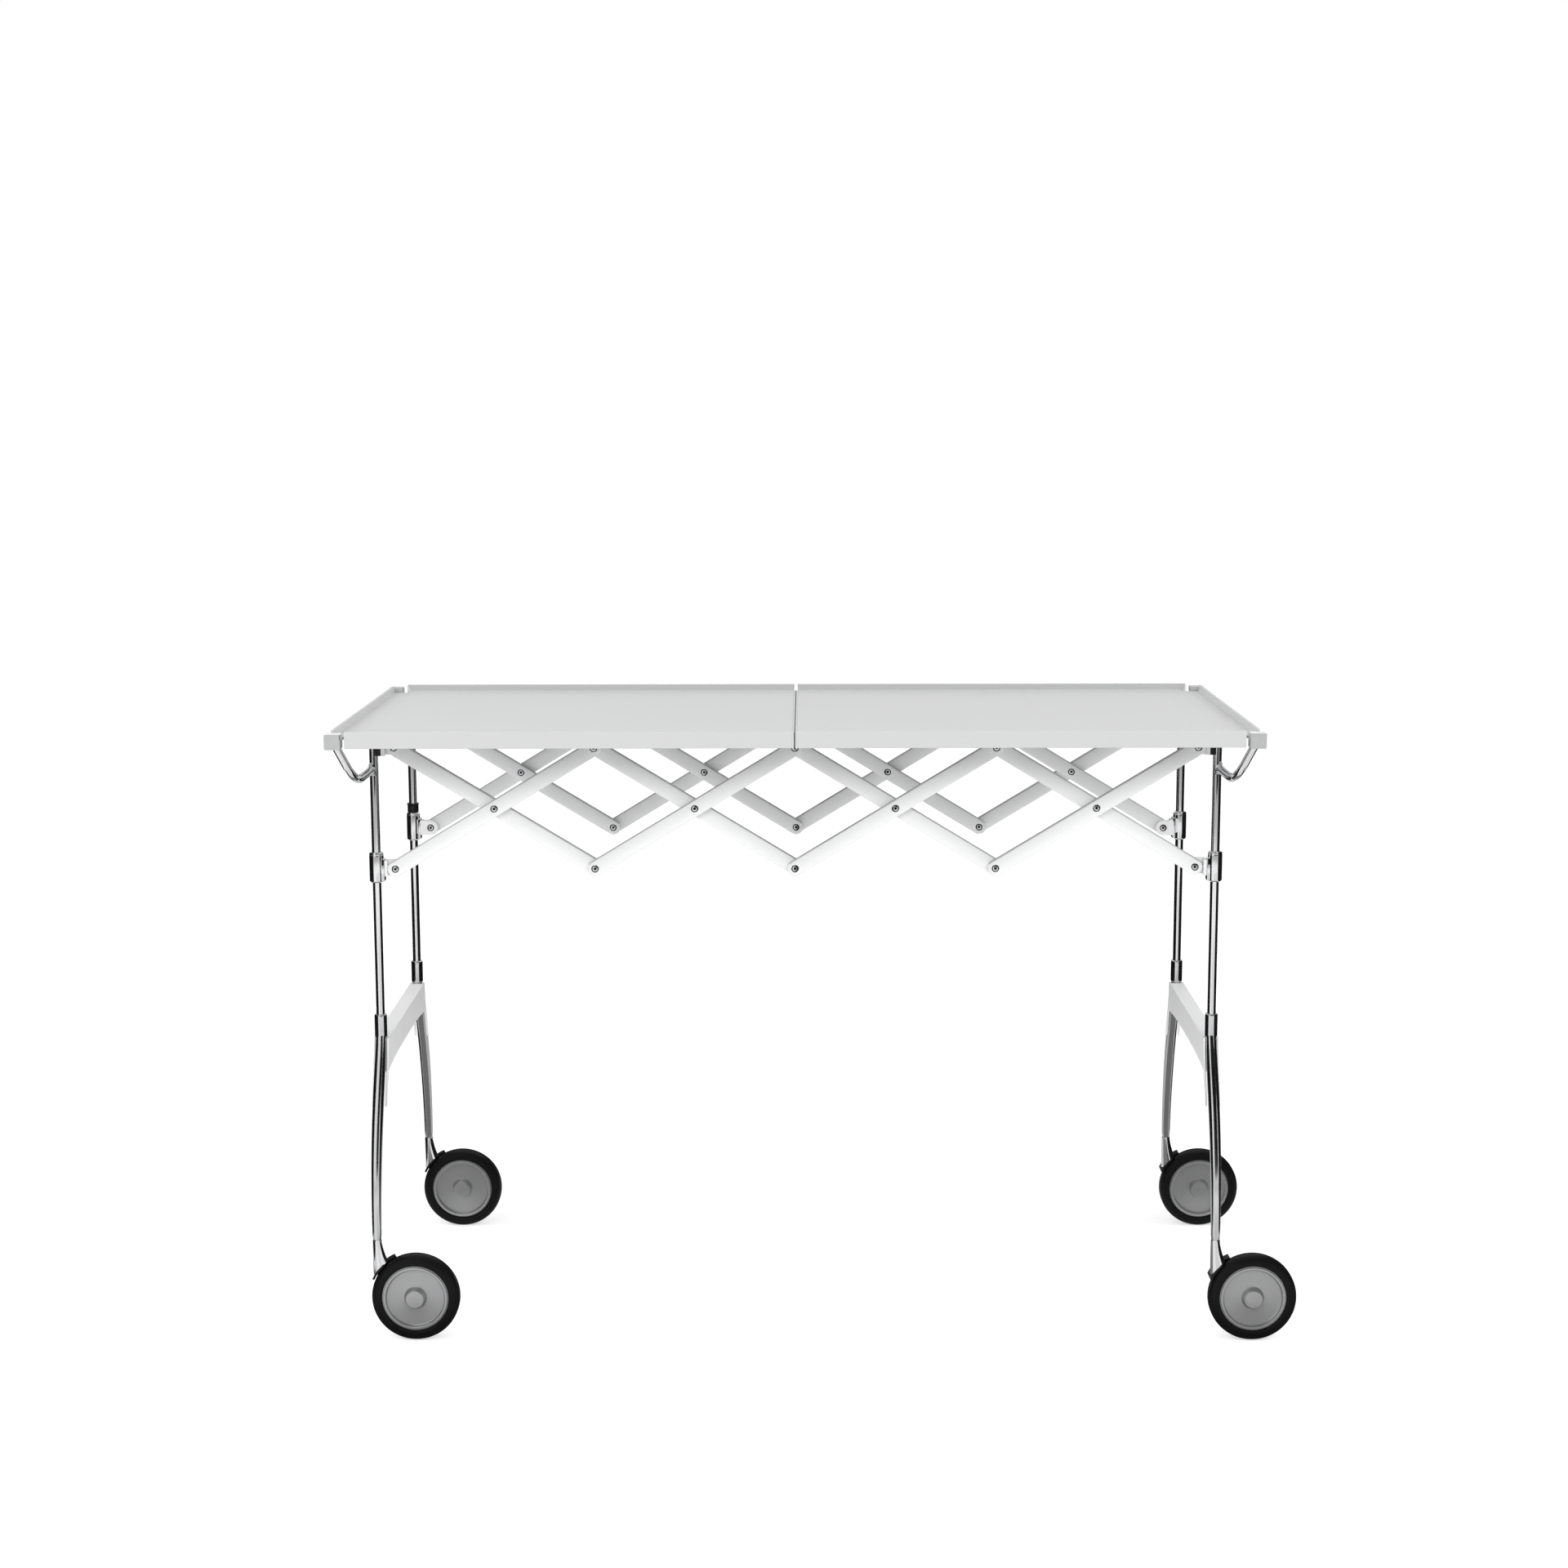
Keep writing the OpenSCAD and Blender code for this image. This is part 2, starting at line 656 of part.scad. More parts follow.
// Bar number i from 1 to 4. Rising bars are the outer layer, falling bars the inner one.
module link_bar(i, end, rising) {
  y0 = rising ? rising_y : falling_y;
  tilt = rising ? -bar_angle : bar_angle;
  color("white") from_middle() mirror([0, end < 0 ? 1 : 0, 0])
    translate([bar_mid(i), 0, (high_z + low_z) / 2]) rotate([0, tilt, 0]) difference() {
      union() {
        translate([-bar_l / 2, y0, -bar_w / 2]) cube([bar_l, bar_t, bar_w]);
        for (k = [-1, 1]) translate([k * bar_l / 2, 0, 0]) y_rod(bar_w, y0, y0 + bar_t);
      }
      for (k = [-1, 0, 1]) translate([k * bar_l / 2, 0, 0]) {
        y_rod(screw_d + 2 * fit_gap, y0 - 1, y0 + bar_t + 1);
        outward = rising || (i == 1 && k == -1) || (i == 4 && k == 1);
        if (outward) y_rod(sink_d, y0 + bar_t - sink_t, y0 + bar_t + 1);
        else y_rod(sink_d, y0 - 1, y0 + sink_t);
      }
    }
}

// Pivot screw through two layers, with a head at each end
module pivot_screw(outer_y) {
  inner_y = outer_y - 2 * bar_t - layer_gap;
  y_rod(screw_d, inner_y + sink_t - head_gap, outer_y - sink_t);
  screw_head(outer_y - sink_t, 1);
  screw_head(inner_y + sink_t - head_gap, -1);
}

// Head that starts at y and points outwards or inwards, with its hexagon socket
module screw_head(y, way) {
  translate([0, y, 0]) mirror([0, way < 0 ? 1 : 0, 0]) difference() {
    y_rod(head_d, 0, head_t);
    translate([0, head_t + 1, 0]) rotate([90, 0, 0])
      cylinder(d = hex_w / cos(30), h = hex_t + 1, $fn = 6);
  }
}

// The three pivots of rising bar i: its foot, its middle and its head
module rising_screws(i) {
  mid = [bar_mid(i), (high_z + low_z) / 2];
  color("gray") from_middle() for (end = [-1, 1]) mirror([0, end < 0 ? 1 : 0, 0])
    for (k = [-1, 0, 1])
    translate([mid[0] + k * cell / 2, 0, mid[1] + k * lattice_rise / 2])
    pivot_screw(rising_y + bar_t);
}

// The screw that holds the first falling bar to its head, or the last one to its sleeve
module end_screws(side) {
  color("gray") from_middle() for (end = [-1, 1]) mirror([0, end < 0 ? 1 : 0, 0])
    translate([side * pivot_x, 0, side < 0 ? high_z : low_z]) pivot_screw(falling_y + bar_t);
}

// ---- casters ----

// Moves a piece drawn on the wheel's axle to one of the legs
module at_wheel(side, end) {
  from_middle() translate([side * leg_x + trail, end * foot_y, wheel_r]) children();
}

crown_in = wheel_r + crown_gap;
crown_out = crown_in + crown_t;
neck_top = ankle_z - swivel_gap;
neck_steps = 10;
neck_sides = 24;
neck_low = wheel_r + neck_foot;
neck_rings = [
  for (i = [0 : neck_steps])
  let (
    u = i / neck_steps,
    flare = neck_flare * pow(u, 1.6) / 2
  )
  [
    for (j = [0 : neck_sides - 1])
    let (a = 360 * j / neck_sides)
    [
      flare + (ankle_d / 2 + flare) * cos(a) - trail,
      (ankle_d / 2 + neck_swell * u) * sin(a),
      neck_top - (neck_top - neck_low) * u - wheel_r
    ]
  ]
];

// Chrome neck with its swivel stem, hollowed to sit on the crown
module caster_neck(side, end) {
  color("silver") at_wheel(side, end) {
    difference() {
      skin(neck_rings);
      crown_round(-tyre_w, tyre_w);
    }
    translate([-trail, 0, neck_top - wheel_r - 2]) cylinder(d = stem_d, h = stem_l + 2);
  }
}

arm_y = tyre_w / 2 + fork_gap;
hub_front = ring_in - tyre_w / 2;
hub_face = hub_front + face_in;

// Wedge about the axle between two angles above the +X axis
module wedge(a0, a1, y0, y1) {
  far = 2 * crown_out;
  translate([0, y1, 0]) rotate([90, 0, 0]) linear_extrude(y1 - y0)
    polygon([
      [0, 0], [far * cos(a0), far * sin(a0)],
      [far * cos((a0 + a1) / 2), far * sin((a0 + a1) / 2)], [far * cos(a1), far * sin(a1)]
    ]);
}

// The crown's outer round, nearer to the neck than to the wheel's axle
module crown_round(y0, y1) {
  translate(crown_lean * [cos(lean_angle), 0, sin(lean_angle)])
    y_rod(2 * (crown_out - crown_lean), y0, y1);
}

// Black crown over the tyre, the arm behind the wheel and its axle
module caster_arm(side, end) {
  color("dimgray") at_wheel(side, end) {
    difference() {
      crown_round(-crown_front, arm_y + fork_t);
      y_rod(2 * crown_in, -tyre_w, arm_y);
      difference() {
        y_rod(3 * crown_out, -tyre_w, 2 * tyre_w);
        wedge(crown_start, crown_end, -2 * tyre_w, 3 * tyre_w);
      }
      difference() {
        y_rod(3 * crown_out, -tyre_w, tyre_w / 8);
        wedge(crown_full, crown_end, -2 * tyre_w, tyre_w);
      }
    }
    y_rod(axle_boss_d, arm_y, arm_y + fork_t);
    y_rod(axle_d, hub_face + hub_skin + fork_gap, arm_y + 1);
  }
}

// Grey hub: seat for the tyre, raised ring, sunk face and raised centre
module wheel_hub(side, end) {
  seat_r = wheel_r - tyre_t - tyre_gap;
  back = tyre_w / 2 - back_in;
  color("gray") at_wheel(side, end) difference() {
    union() {
      difference() {
        union() {
          y_rod(2 * seat_r, hub_front + ring_out, back);
          y_rod(2 * ring_r, hub_front, back);
        }
        y_rod(2 * (ring_r - ring_w), hub_front - 1, hub_face);
        y_rod(2 * (ring_r - ring_w), hub_face + disc_t, back + 1);
      }
      translate([0, hub_front - boss_out, 0]) rotate([-90, 0, 0])
        cylinder(d1 = boss_tip_d, d2 = boss_d, h = face_in + boss_out + disc_t / 2);
      y_rod(axle_boss_d, hub_face + disc_t / 2, arm_y - fork_gap / 2);
    }
    y_rod(axle_d + 2 * fit_gap, hub_face + hub_skin, arm_y);
  }
}

// Tyre with rounded shoulders
module tyre(side, end) {
  r0 = wheel_r - tyre_t;
  rc = wheel_r - tyre_round;
  w = tyre_w / 2 - tyre_round;
  color("dimgray") at_wheel(side, end) rotate([90, 0, 0]) rotate_extrude($fn = 96)
    intersection() {
      union() {
        translate([r0, -tyre_w / 2]) square([rc - r0, tyre_w]);
        translate([r0, -w]) square([tyre_t, 2 * w]);
        for (k = [-1, 1]) translate([rc, k * w]) circle(r = tyre_round);
      }
      translate([r0, -tyre_w / 2]) square([tyre_t, tyre_w]);
    }
}

tray(-1);  // left_tray
tray(1);  // right_tray
corner_blocks(-1);  // left_corner_blocks
corner_blocks(1);  // right_corner_blocks
leg_rod(-1, -1);  // left_front_leg_rod
leg_rod(-1, 1);  // left_rear_leg_rod
leg_rod(1, -1);  // right_front_leg_rod
leg_rod(1, 1);  // right_rear_leg_rod
lower_leg(-1, -1);  // left_front_lower_leg
lower_leg(-1, 1);  // left_rear_lower_leg
lower_leg(1, -1);  // right_front_lower_leg
lower_leg(1, 1);  // right_rear_lower_leg
cross_piece(-1);  // left_cross_piece
cross_piece(1);  // right_cross_piece
leg_heads(-1);  // left_leg_heads
leg_heads(1);  // right_leg_heads
sleeves(-1);  // left_sleeves
sleeves(1);  // right_sleeves
sleeve_lugs(-1);  // left_sleeve_lugs
sleeve_lugs(1);  // right_sleeve_lugs
stop_collar();
link_bar(1, -1, false);  // front_falling_bar_1
link_bar(2, -1, false);  // front_falling_bar_2
link_bar(3, -1, false);  // front_falling_bar_3
link_bar(4, -1, false);  // front_falling_bar_4
link_bar(1, -1, true);  // front_rising_bar_1
link_bar(2, -1, true);  // front_rising_bar_2
link_bar(3, -1, true);  // front_rising_bar_3
link_bar(4, -1, true);  // front_rising_bar_4
link_bar(1, 1, false);  // rear_falling_bar_1
link_bar(2, 1, false);  // rear_falling_bar_2
link_bar(3, 1, false);  // rear_falling_bar_3
link_bar(4, 1, false);  // rear_falling_bar_4
link_bar(1, 1, true);  // rear_rising_bar_1
link_bar(2, 1, true);  // rear_rising_bar_2
link_bar(3, 1, true);  // rear_rising_bar_3
link_bar(4, 1, true);  // rear_rising_bar_4
end_screws(-1);  // falling_bar_1_screws
end_screws(1);  // falling_bar_4_screws
rising_screws(1);  // rising_bar_1_screws
rising_screws(2);  // rising_bar_2_screws
rising_screws(3);  // rising_bar_3_screws
rising_screws(4);  // rising_bar_4_screws
caster_neck(-1, -1);  // left_front_caster_neck
caster_neck(-1, 1);  // left_rear_caster_neck
caster_neck(1, -1);  // right_front_caster_neck
caster_neck(1, 1);  // right_rear_caster_neck
caster_arm(-1, -1);  // left_front_caster_arm
caster_arm(-1, 1);  // left_rear_caster_arm
caster_arm(1, -1);  // right_front_caster_arm
caster_arm(1, 1);  // right_rear_caster_arm
wheel_hub(-1, -1);  // left_front_wheel_hub
wheel_hub(-1, 1);  // left_rear_wheel_hub
wheel_hub(1, -1);  // right_front_wheel_hub
wheel_hub(1, 1);  // right_rear_wheel_hub
tyre(-1, -1);  // left_front_tyre
tyre(-1, 1);  // left_rear_tyre
tyre(1, -1);  // right_front_tyre
tyre(1, 1);  // right_rear_tyre
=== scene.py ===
# Folding service table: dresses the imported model, sets up the studio and the camera.
# Lengths are in metres in the shared frame: X along the table, Y from front to back, Z up.
import math

import bmesh
import bpy
import numpy as np
from mathutils import Matrix


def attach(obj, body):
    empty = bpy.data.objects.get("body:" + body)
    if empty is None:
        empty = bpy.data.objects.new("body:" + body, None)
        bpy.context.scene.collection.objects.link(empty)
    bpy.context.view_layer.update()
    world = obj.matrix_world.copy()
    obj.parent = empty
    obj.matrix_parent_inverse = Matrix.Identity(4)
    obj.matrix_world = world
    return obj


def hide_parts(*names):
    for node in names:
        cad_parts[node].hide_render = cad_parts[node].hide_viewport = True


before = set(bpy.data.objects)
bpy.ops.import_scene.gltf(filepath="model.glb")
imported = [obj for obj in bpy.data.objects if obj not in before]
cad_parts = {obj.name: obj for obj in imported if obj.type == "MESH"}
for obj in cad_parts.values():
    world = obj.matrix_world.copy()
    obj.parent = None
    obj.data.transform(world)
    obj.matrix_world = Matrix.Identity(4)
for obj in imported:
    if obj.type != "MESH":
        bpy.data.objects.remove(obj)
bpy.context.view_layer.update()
print("frame loaded,", len(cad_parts), "nodes")

# camera and studio

midX = -0.02775          # the table's middle in the shared frame

cameraFacts = {
    "place": (midX + 0.0126, -3.0809, 1.0986),
    "down": 8.748, "turn": -0.494, "roll": 0.159,   # degrees
    "lens": 58.91,                                  # mm on a 36 mm sensor
}


def aimCamera(facts):
    # the camera's own axes: right, up and backwards, from its three angles
    down, turn, roll = (math.radians(facts[k]) for k in ("down", "turn", "roll"))
    across = np.array([math.cos(turn), -math.sin(turn), 0.0])
    ahead = np.array([math.sin(turn), math.cos(turn), 0.0])
    upward = np.array([0.0, 0.0, 1.0])
    look = math.cos(down) * ahead - math.sin(down) * upward
    top = math.sin(down) * ahead + math.cos(down) * upward
    right = math.cos(roll) * across - math.sin(roll) * top
    top = math.sin(roll) * across + math.cos(roll) * top
    data = bpy.data.cameras.new("photoCamera")
    data.sensor_fit, data.sensor_width, data.lens = "HORIZONTAL", 36.0, facts["lens"]
    data.clip_end = 200
    cam = bpy.data.objects.new("photoCamera", data)
    bpy.context.scene.collection.objects.link(cam)
    turned = Matrix(np.column_stack([right, top, -look]).tolist()).to_4x4()
    turned.translation = facts["place"]
    cam.matrix_world = turned
    bpy.context.scene.camera = cam


aimCamera(cameraFacts)
bpy.context.scene.view_settings.view_transform = "Standard"


class Val:
    # a number in a material: + - * and ** between values add Math nodes
    def __init__(self, mat, socket):
        self.mat, self.socket = mat, socket

    def join(self, how, other, swap=False):
        pair = [other, self] if swap else [self, other]
        return self.mat.node("ShaderNodeMath", {"operation": how}, {0: pair[0], 1: pair[1]})

    def __add__(self, o): return self.join("ADD", o)
    def __radd__(self, o): return self.join("ADD", o, True)
    def __sub__(self, o): return self.join("SUBTRACT", o)
    def __rsub__(self, o): return self.join("SUBTRACT", o, True)
    def __mul__(self, o): return self.join("MULTIPLY", o)
    def __rmul__(self, o): return self.join("MULTIPLY", o, True)
    def __pow__(self, o): return self.join("POWER", o)


class Finish:
    # a material around one Principled shader, with constants on the shader's own sockets
    def __init__(self, name, color, **fixed):
        self.material = bpy.data.materials.new(name)
        self.material.use_nodes = True
        self.tree = self.material.node_tree
        self.shader = self.tree.nodes["Principled BSDF"]
        self.color = color
        self.shader.inputs["Base Color"].default_value = (*color, 1)
        for key, value in fixed.items():
            self.shader.inputs[key.replace("_", " ")].default_value = value

    def node(self, kind, settings=None, inputs=None, output=0):
        # settings are set first, then the sockets get their values or links
        made = self.tree.nodes.new(kind)
        for key, value in (settings or {}).items():
            setattr(made, key, value)
        for key, value in (inputs or {}).items():
            if isinstance(value, Val):
                self.tree.links.new(value.socket, made.inputs[key])
            else:
                made.inputs[key].default_value = value
        return Val(self, made.outputs[output])

    def spot(self, scale=(1, 1, 1)):
        here = self.node("ShaderNodeTexCoord", output="Object")
        return self.node("ShaderNodeMapping", {}, {"Vector": here, "Scale": scale})

    def noise(self, size, detail=3, stretch=(1, 1, 1), rough=0.5):
        return self.node("ShaderNodeTexNoise", {}, {
            "Vector": self.spot(stretch), "Scale": 1 / size, "Detail": detail, "Roughness": rough})

    def feed(self, socket, value):
        self.tree.links.new(value.socket, self.shader.inputs[socket])

    def ramp(self, value, stops):
        # grey levels between stops of (position, level)
        made = self.node("ShaderNodeValToRGB", {}, {0: value})
        steps = made.socket.node.color_ramp.elements
        while len(steps) < len(stops):
            steps.new(1.0)
        for step, (place, level) in zip(steps, stops):
            step.position, step.color = place, (level, level, level, 1)
        return made

    def tint(self, amount, dark, light):
        # colour from dark to light times the base colour, by a value from 0 to 1
        a, b = ((*[min(1, c * k) for c in self.color], 1) for k in (dark, light))
        self.feed("Base Color", self.node(
            "ShaderNodeMix", {"data_type": "RGBA", "clamp_factor": True},
            {0: amount, 6: a, 7: b}, output=2))

    def bump(self, height, depth, strength=1.0):
        self.feed("Normal", self.node(
            "ShaderNodeBump", {}, {"Height": height, "Distance": depth, "Strength": strength}))


def grainFinish(name, color, rough, grain, depth, patch=0.05, change=0.02, **fixed):
    # moulded or painted surface: fine grain, faint broad patches, uneven gloss
    f = Finish(name, color, **fixed)
    fine, broad = f.noise(grain), f.noise(patch, 2)
    f.tint(broad * 0.7 + fine * 0.3, 1 - change, 1 + change)
    f.feed("Roughness", rough - 0.06 + 0.12 * broad)
    f.bump(fine, depth)
    return f.material


def metalFinish(name, color, rough, streak, depth, change=0.04, spread=0.08, **fixed):
    # polished or drawn metal: long fine streaks, faint handling marks, slow waves
    f = Finish(name, color, Metallic=1.0, **fixed)
    drawn = f.noise(0.0012, 4, streak)
    marks = f.noise(0.02, 4, rough=0.65)
    f.tint(marks * 0.6 + drawn * 0.4, 1 - change, 1 + change)
    f.feed("Roughness", rough + spread * (marks ** 3) + 0.03 * drawn)
    f.bump(f.noise(0.03, 1) + 0.03 * drawn, depth)
    return f.material


def barFinish():
    # white bar plastic with painted shade: darker towards the upper edge, and a painted dark shade
    # line along that edge
    f = Finish("barWhite", (0.84, 0.843, 0.847))
    fine, broad = f.noise(0.0006), f.noise(0.04, 2)
    up = f.node("ShaderNodeAttribute", {"attribute_name": "upward"}, output=2)
    # painted shade by height across the bar: light at the lower edge, darker upwards, a dark line
    # at the top edge
    barPaintedShade = f.ramp(up, [(0.0, 1.0), (0.5, 0.84), (0.92, 0.7), (0.965, 0.2), (1.0, 0.15)])
    f.tint(barPaintedShade + 0.04 * (fine - 0.5) + 0.03 * (broad - 0.5), 0.4, 1.14)
    f.feed("Roughness", 0.3 + 0.12 * broad)
    f.bump(fine, 0.00002)
    return f.material


trayGrey = grainFinish("trayGrey", (0.645, 0.648, 0.652), 0.42, 0.0007, 0.00002, 0.12, 0.012)
# painted shade: a darker tone of the tray plastic for the rim's long inner walls
trayPaintedShade = grainFinish("trayPaintedShade", (0.487, 0.489, 0.493), 0.42, 0.0007, 0.00002, 0.12, 0.012)
barWhite = barFinish()
mouldWhite = grainFinish("mouldWhite", (0.90, 0.902, 0.905), 0.4, 0.0008, 0.00003, 0.03, 0.015)
blockSatin = grainFinish("blockSatin", (0.53, 0.533, 0.538), 0.4, 0.0004, 0.00001, 0.01, 0.04,
                         Metallic=0.2)
# painted light: the front blocks' top faces in a lighter tone, as if lit from above
blockPaintedLight = grainFinish("blockPaintedLight", (0.86, 0.862, 0.866), 0.35, 0.0004, 0.00001, 0.01, 0.02)
hubGrey = grainFinish("hubGrey", (0.46, 0.463, 0.468), 0.36, 0.0006, 0.00003, 0.02, 0.03,
                      Metallic=0.8)
blackMould = grainFinish("blackMould", (0.007, 0.007, 0.0075), 0.4, 0.0009, 0.00006, 0.02, 0.2,
                         Specular_IOR_Level=0.3)
tyreBlack = grainFinish("tyreBlack", (0.005, 0.005, 0.0053), 0.45, 0.0012, 0.00008, 0.02, 0.25,
                        Specular_IOR_Level=0.16)
chromeRod = metalFinish("chromeRod", (0.83, 0.835, 0.845), 0.05, (1, 1, 0.04), 0.00002)
castPolish = metalFinish("castPolish", (0.66, 0.665, 0.675), 0.13, (1, 1, 0.15), 0.00012, 0.08)
screwSteel = metalFinish("screwSteel", (0.80, 0.805, 0.815), 0.24, (1, 1, 1), 0.00001)
# painted shade: near black for the counterbore's shade round each screw head and the hexagon
# socket's depth
recessPaintedShade = metalFinish("recessPaintedShade", (0.03, 0.03, 0.032), 0.45, (1, 1, 1), 0.00001)
print("finishes ready")


def studio():
    # white surround for the camera and for gloss, plain level light on everything else
    world = bpy.data.worlds.new("studioWorld")
    bpy.context.scene.world = world
    world.use_nodes = True
    tree = world.node_tree
    back = tree.nodes["Background"]
    path = tree.nodes.new("ShaderNodeLightPath")
    seen = None
    for ray in ("Is Camera Ray", "Is Glossy Ray", "Is Transmission Ray"):
        if seen is None:
            seen = path.outputs[ray]
            continue
        most = tree.nodes.new("ShaderNodeMath")
        most.operation = "MAXIMUM"
        tree.links.new(seen, most.inputs[0])
        tree.links.new(path.outputs[ray], most.inputs[1])
        seen = most.outputs[0]
    level = tree.nodes.new("ShaderNodeMapRange")
    level.inputs["To Min"].default_value = studioFacts["plainLevel"]
    level.inputs["To Max"].default_value = 1.0
    tree.links.new(seen, level.inputs["Value"])
    tree.links.new(level.outputs["Result"], back.inputs["Strength"])
    back.inputs["Color"].default_value = (1, 1, 1, 1)
    for name, (place, aim, size, power) in studioFacts["lamps"].items():
        data = bpy.data.lights.new(name, "AREA")
        data.shape, data.size, data.energy = "DISK", size, power
        lamp = bpy.data.objects.new(name, data)
        bpy.context.scene.collection.objects.link(lamp)
        way = np.array(aim, float) - np.array(place, float)
        way /= np.linalg.norm(way)
        side = np.cross(way, [0.0, 0.0, 1.0])
        side /= np.linalg.norm(side)
        turned = Matrix(np.column_stack([side, np.cross(side, way), -way]).tolist()).to_4x4()
        turned.translation = place
        lamp.matrix_world = turned
        lamp.visible_glossy = False


def standing(x0, y0, x1, y1, low, high):
    # corners of an upright sheet between two places on the floor
    return [(x0, y0, low), (x1, y1, low), (x1, y1, high), (x0, y0, high)]


def lying(x0, y0, x1, y1, z):
    # corners of a level sheet
    return [(x0, y0, z), (x1, y0, z), (x1, y1, z), (x0, y1, z)]


studioFacts = {
    "plainLevel": 0.46,
    "lamps": {   # place, aim, size across, watts
        "keyLeft": ((-1.5, -3.2, 2.6), (0, 0, 0.4), 2.2, 47),
        "keyRight": ((1.5, -3.2, 2.6), (0, 0, 0.4), 2.2, 43),
        "sideLeft": ((-3.0, -0.4, 1.7), (0, 0, 0.6), 1.8, 40),
        "sideRight": ((3.0, -0.4, 1.7), (0, 0, 0.6), 1.8, 40),
    },
    "floorGlow": 0.52, "floorWhite": 0.82, "floorShine": 0.2, "floorRough": 0.06,
    "flagDark": 0.004, "flagGrey": 0.2,
    # sheets that only gloss can see: they draw the dark edges on the chrome
    "flags": {
        "flagLeft": standing(-1.35, -1.1, -1.35, 1.4, 0.0, 2.2),
        "flagRight": standing(1.3, -1.1, 1.3, 1.4, 0.0, 2.2),
        "flagLowLeft": standing(-0.8, -0.5, -0.8, 1.2, 0.0, 0.33),
        "flagLowRight": standing(0.8, -0.5, 0.8, 1.2, 0.0, 0.33),
        "flagMiddle": standing(0, -0.42, 0, 1.0, 0.0, 0.66),
        "flagFront": lying(-0.62, -3.3, 2.4, -0.9, 1.9),
        "flagHigh": standing(-0.7, -3.3, 2.4, -3.3, 0.4, 1.9),
        "flagBack": standing(-1.35, 1.4, 1.3, 1.4, 0.0, 0.8),
    },
    "floorFlags": {"flagUnder": lying(-0.75, -0.3, 0.7, 0.12, 0.003)},
    "groundHalf": 60,
}
studio()


def sheetOf(name, corners, material):
    mesh = bpy.data.meshes.new(name)
    mesh.from_pydata(corners, [], [tuple(range(len(corners)))])
    mesh.materials.append(material)
    piece = bpy.data.objects.new(name, mesh)
    bpy.context.scene.collection.objects.link(piece)
    return piece


def floorFinish():
    # white floor: part of it glows for the camera, so that it stays white but keeps shadows
    mat = bpy.data.materials.new("studioFloor")
    mat.use_nodes = True
    tree = mat.node_tree
    tree.nodes.remove(tree.nodes["Principled BSDF"])
    put = {kind: tree.nodes.new(kind) for kind in (
        "ShaderNodeBsdfDiffuse", "ShaderNodeEmission", "ShaderNodeBsdfGlossy",
        "ShaderNodeLightPath", "ShaderNodeAddShader", "ShaderNodeMath")}
    white, shine = studioFacts["floorWhite"], studioFacts["floorShine"]
    put["ShaderNodeBsdfDiffuse"].inputs["Color"].default_value = (white, white, white, 1)
    gloss = put["ShaderNodeBsdfGlossy"]
    gloss.inputs["Color"].default_value = (1, 1, 1, 1)
    gloss.inputs["Roughness"].default_value = studioFacts["floorRough"]
    put["ShaderNodeMath"].operation = "MULTIPLY"
    put["ShaderNodeMath"].inputs[1].default_value = studioFacts["floorGlow"]
    tree.links.new(put["ShaderNodeLightPath"].outputs["Is Camera Ray"],
                   put["ShaderNodeMath"].inputs[0])
    tree.links.new(put["ShaderNodeMath"].outputs[0], put["ShaderNodeEmission"].inputs["Strength"])
    half = tree.nodes.new("ShaderNodeMixShader")
    half.inputs[0].default_value = shine
    tree.links.new(put["ShaderNodeBsdfDiffuse"].outputs[0], half.inputs[1])
    tree.links.new(gloss.outputs[0], half.inputs[2])
    tree.links.new(half.outputs[0], put["ShaderNodeAddShader"].inputs[0])
    tree.links.new(put["ShaderNodeEmission"].outputs[0], put["ShaderNodeAddShader"].inputs[1])
    tree.links.new(put["ShaderNodeAddShader"].outputs[0],
                   tree.nodes["Material Output"].inputs["Surface"])
    return mat


def flagFinish(name, dark):
    mat = bpy.data.materials.new(name)
    mat.use_nodes = True
    shader = mat.node_tree.nodes["Principled BSDF"]
    shader.inputs["Base Color"].default_value = (dark, dark, dark, 1)
    shader.inputs["Roughness"].default_value = 1.0
    return mat


far = studioFacts["groundHalf"]
sheetOf("studioGround", lying(-far, -far, far, far, 0), floorFinish())
for group, finish in (("flags", flagFinish("studioFlag", studioFacts["flagDark"])),
                      ("floorFlags", flagFinish("studioFlagGrey", studioFacts["flagGrey"]))):
    for name, corners in studioFacts[group].items():
        flag = sheetOf(name, corners, finish)
        flag.visible_camera = flag.visible_diffuse = flag.visible_shadow = False
        flag.visible_transmission = flag.visible_volume_scatter = False
print("studio ready")

# surfaces from arrays


def gridQuads(rows, cols):
    # four corners of each cell of a grid whose last column meets its first
    i = np.arange(rows - 1)[:, None] * cols
    j = np.arange(cols)[None, :]
    k = (j + 1) % cols
    return np.stack([i + j, i + k, i + k + cols, i + j + cols], -1).reshape(-1, 4)


def addPiece(name, grids, finishes, body, stands, sharp=38, drop=None, upward=None):
    # grids are (points[rows, cols, 3], finish number); doubles merge and faces turn outwards
    points, quads, kinds, start = [], [], [], 0
    for grid, kind in grids:
        rows, cols = grid.shape[:2]
        cell = gridQuads(rows, cols) + start
        points.append(grid.reshape(-1, 3))
        quads.append(cell)
        kinds.append(np.full(len(cell), kind))
        start += rows * cols
    points, quads, kinds = (np.concatenate(x) for x in (points, quads, kinds))
    if drop is not None:
        keep = ~drop(points, quads)
        quads, kinds = quads[keep], kinds[keep]
    mesh = bpy.data.meshes.new(name)
    mesh.from_pydata(points.tolist(), [], quads.tolist())
    mesh.polygons.foreach_set("material_index", kinds.astype(np.int32))
    for finish in finishes:
        mesh.materials.append(finish)
    if upward is not None:
        level = mesh.attributes.new("upward", "FLOAT", "POINT")
        level.data.foreach_set("value", upward(points).astype(np.float32))
    placePiece(name, mesh, body, stands, sharp)


mergeFacts = {"doubles": 4e-6, "slivers": 1e-6, "cadDoubles": 3e-6}


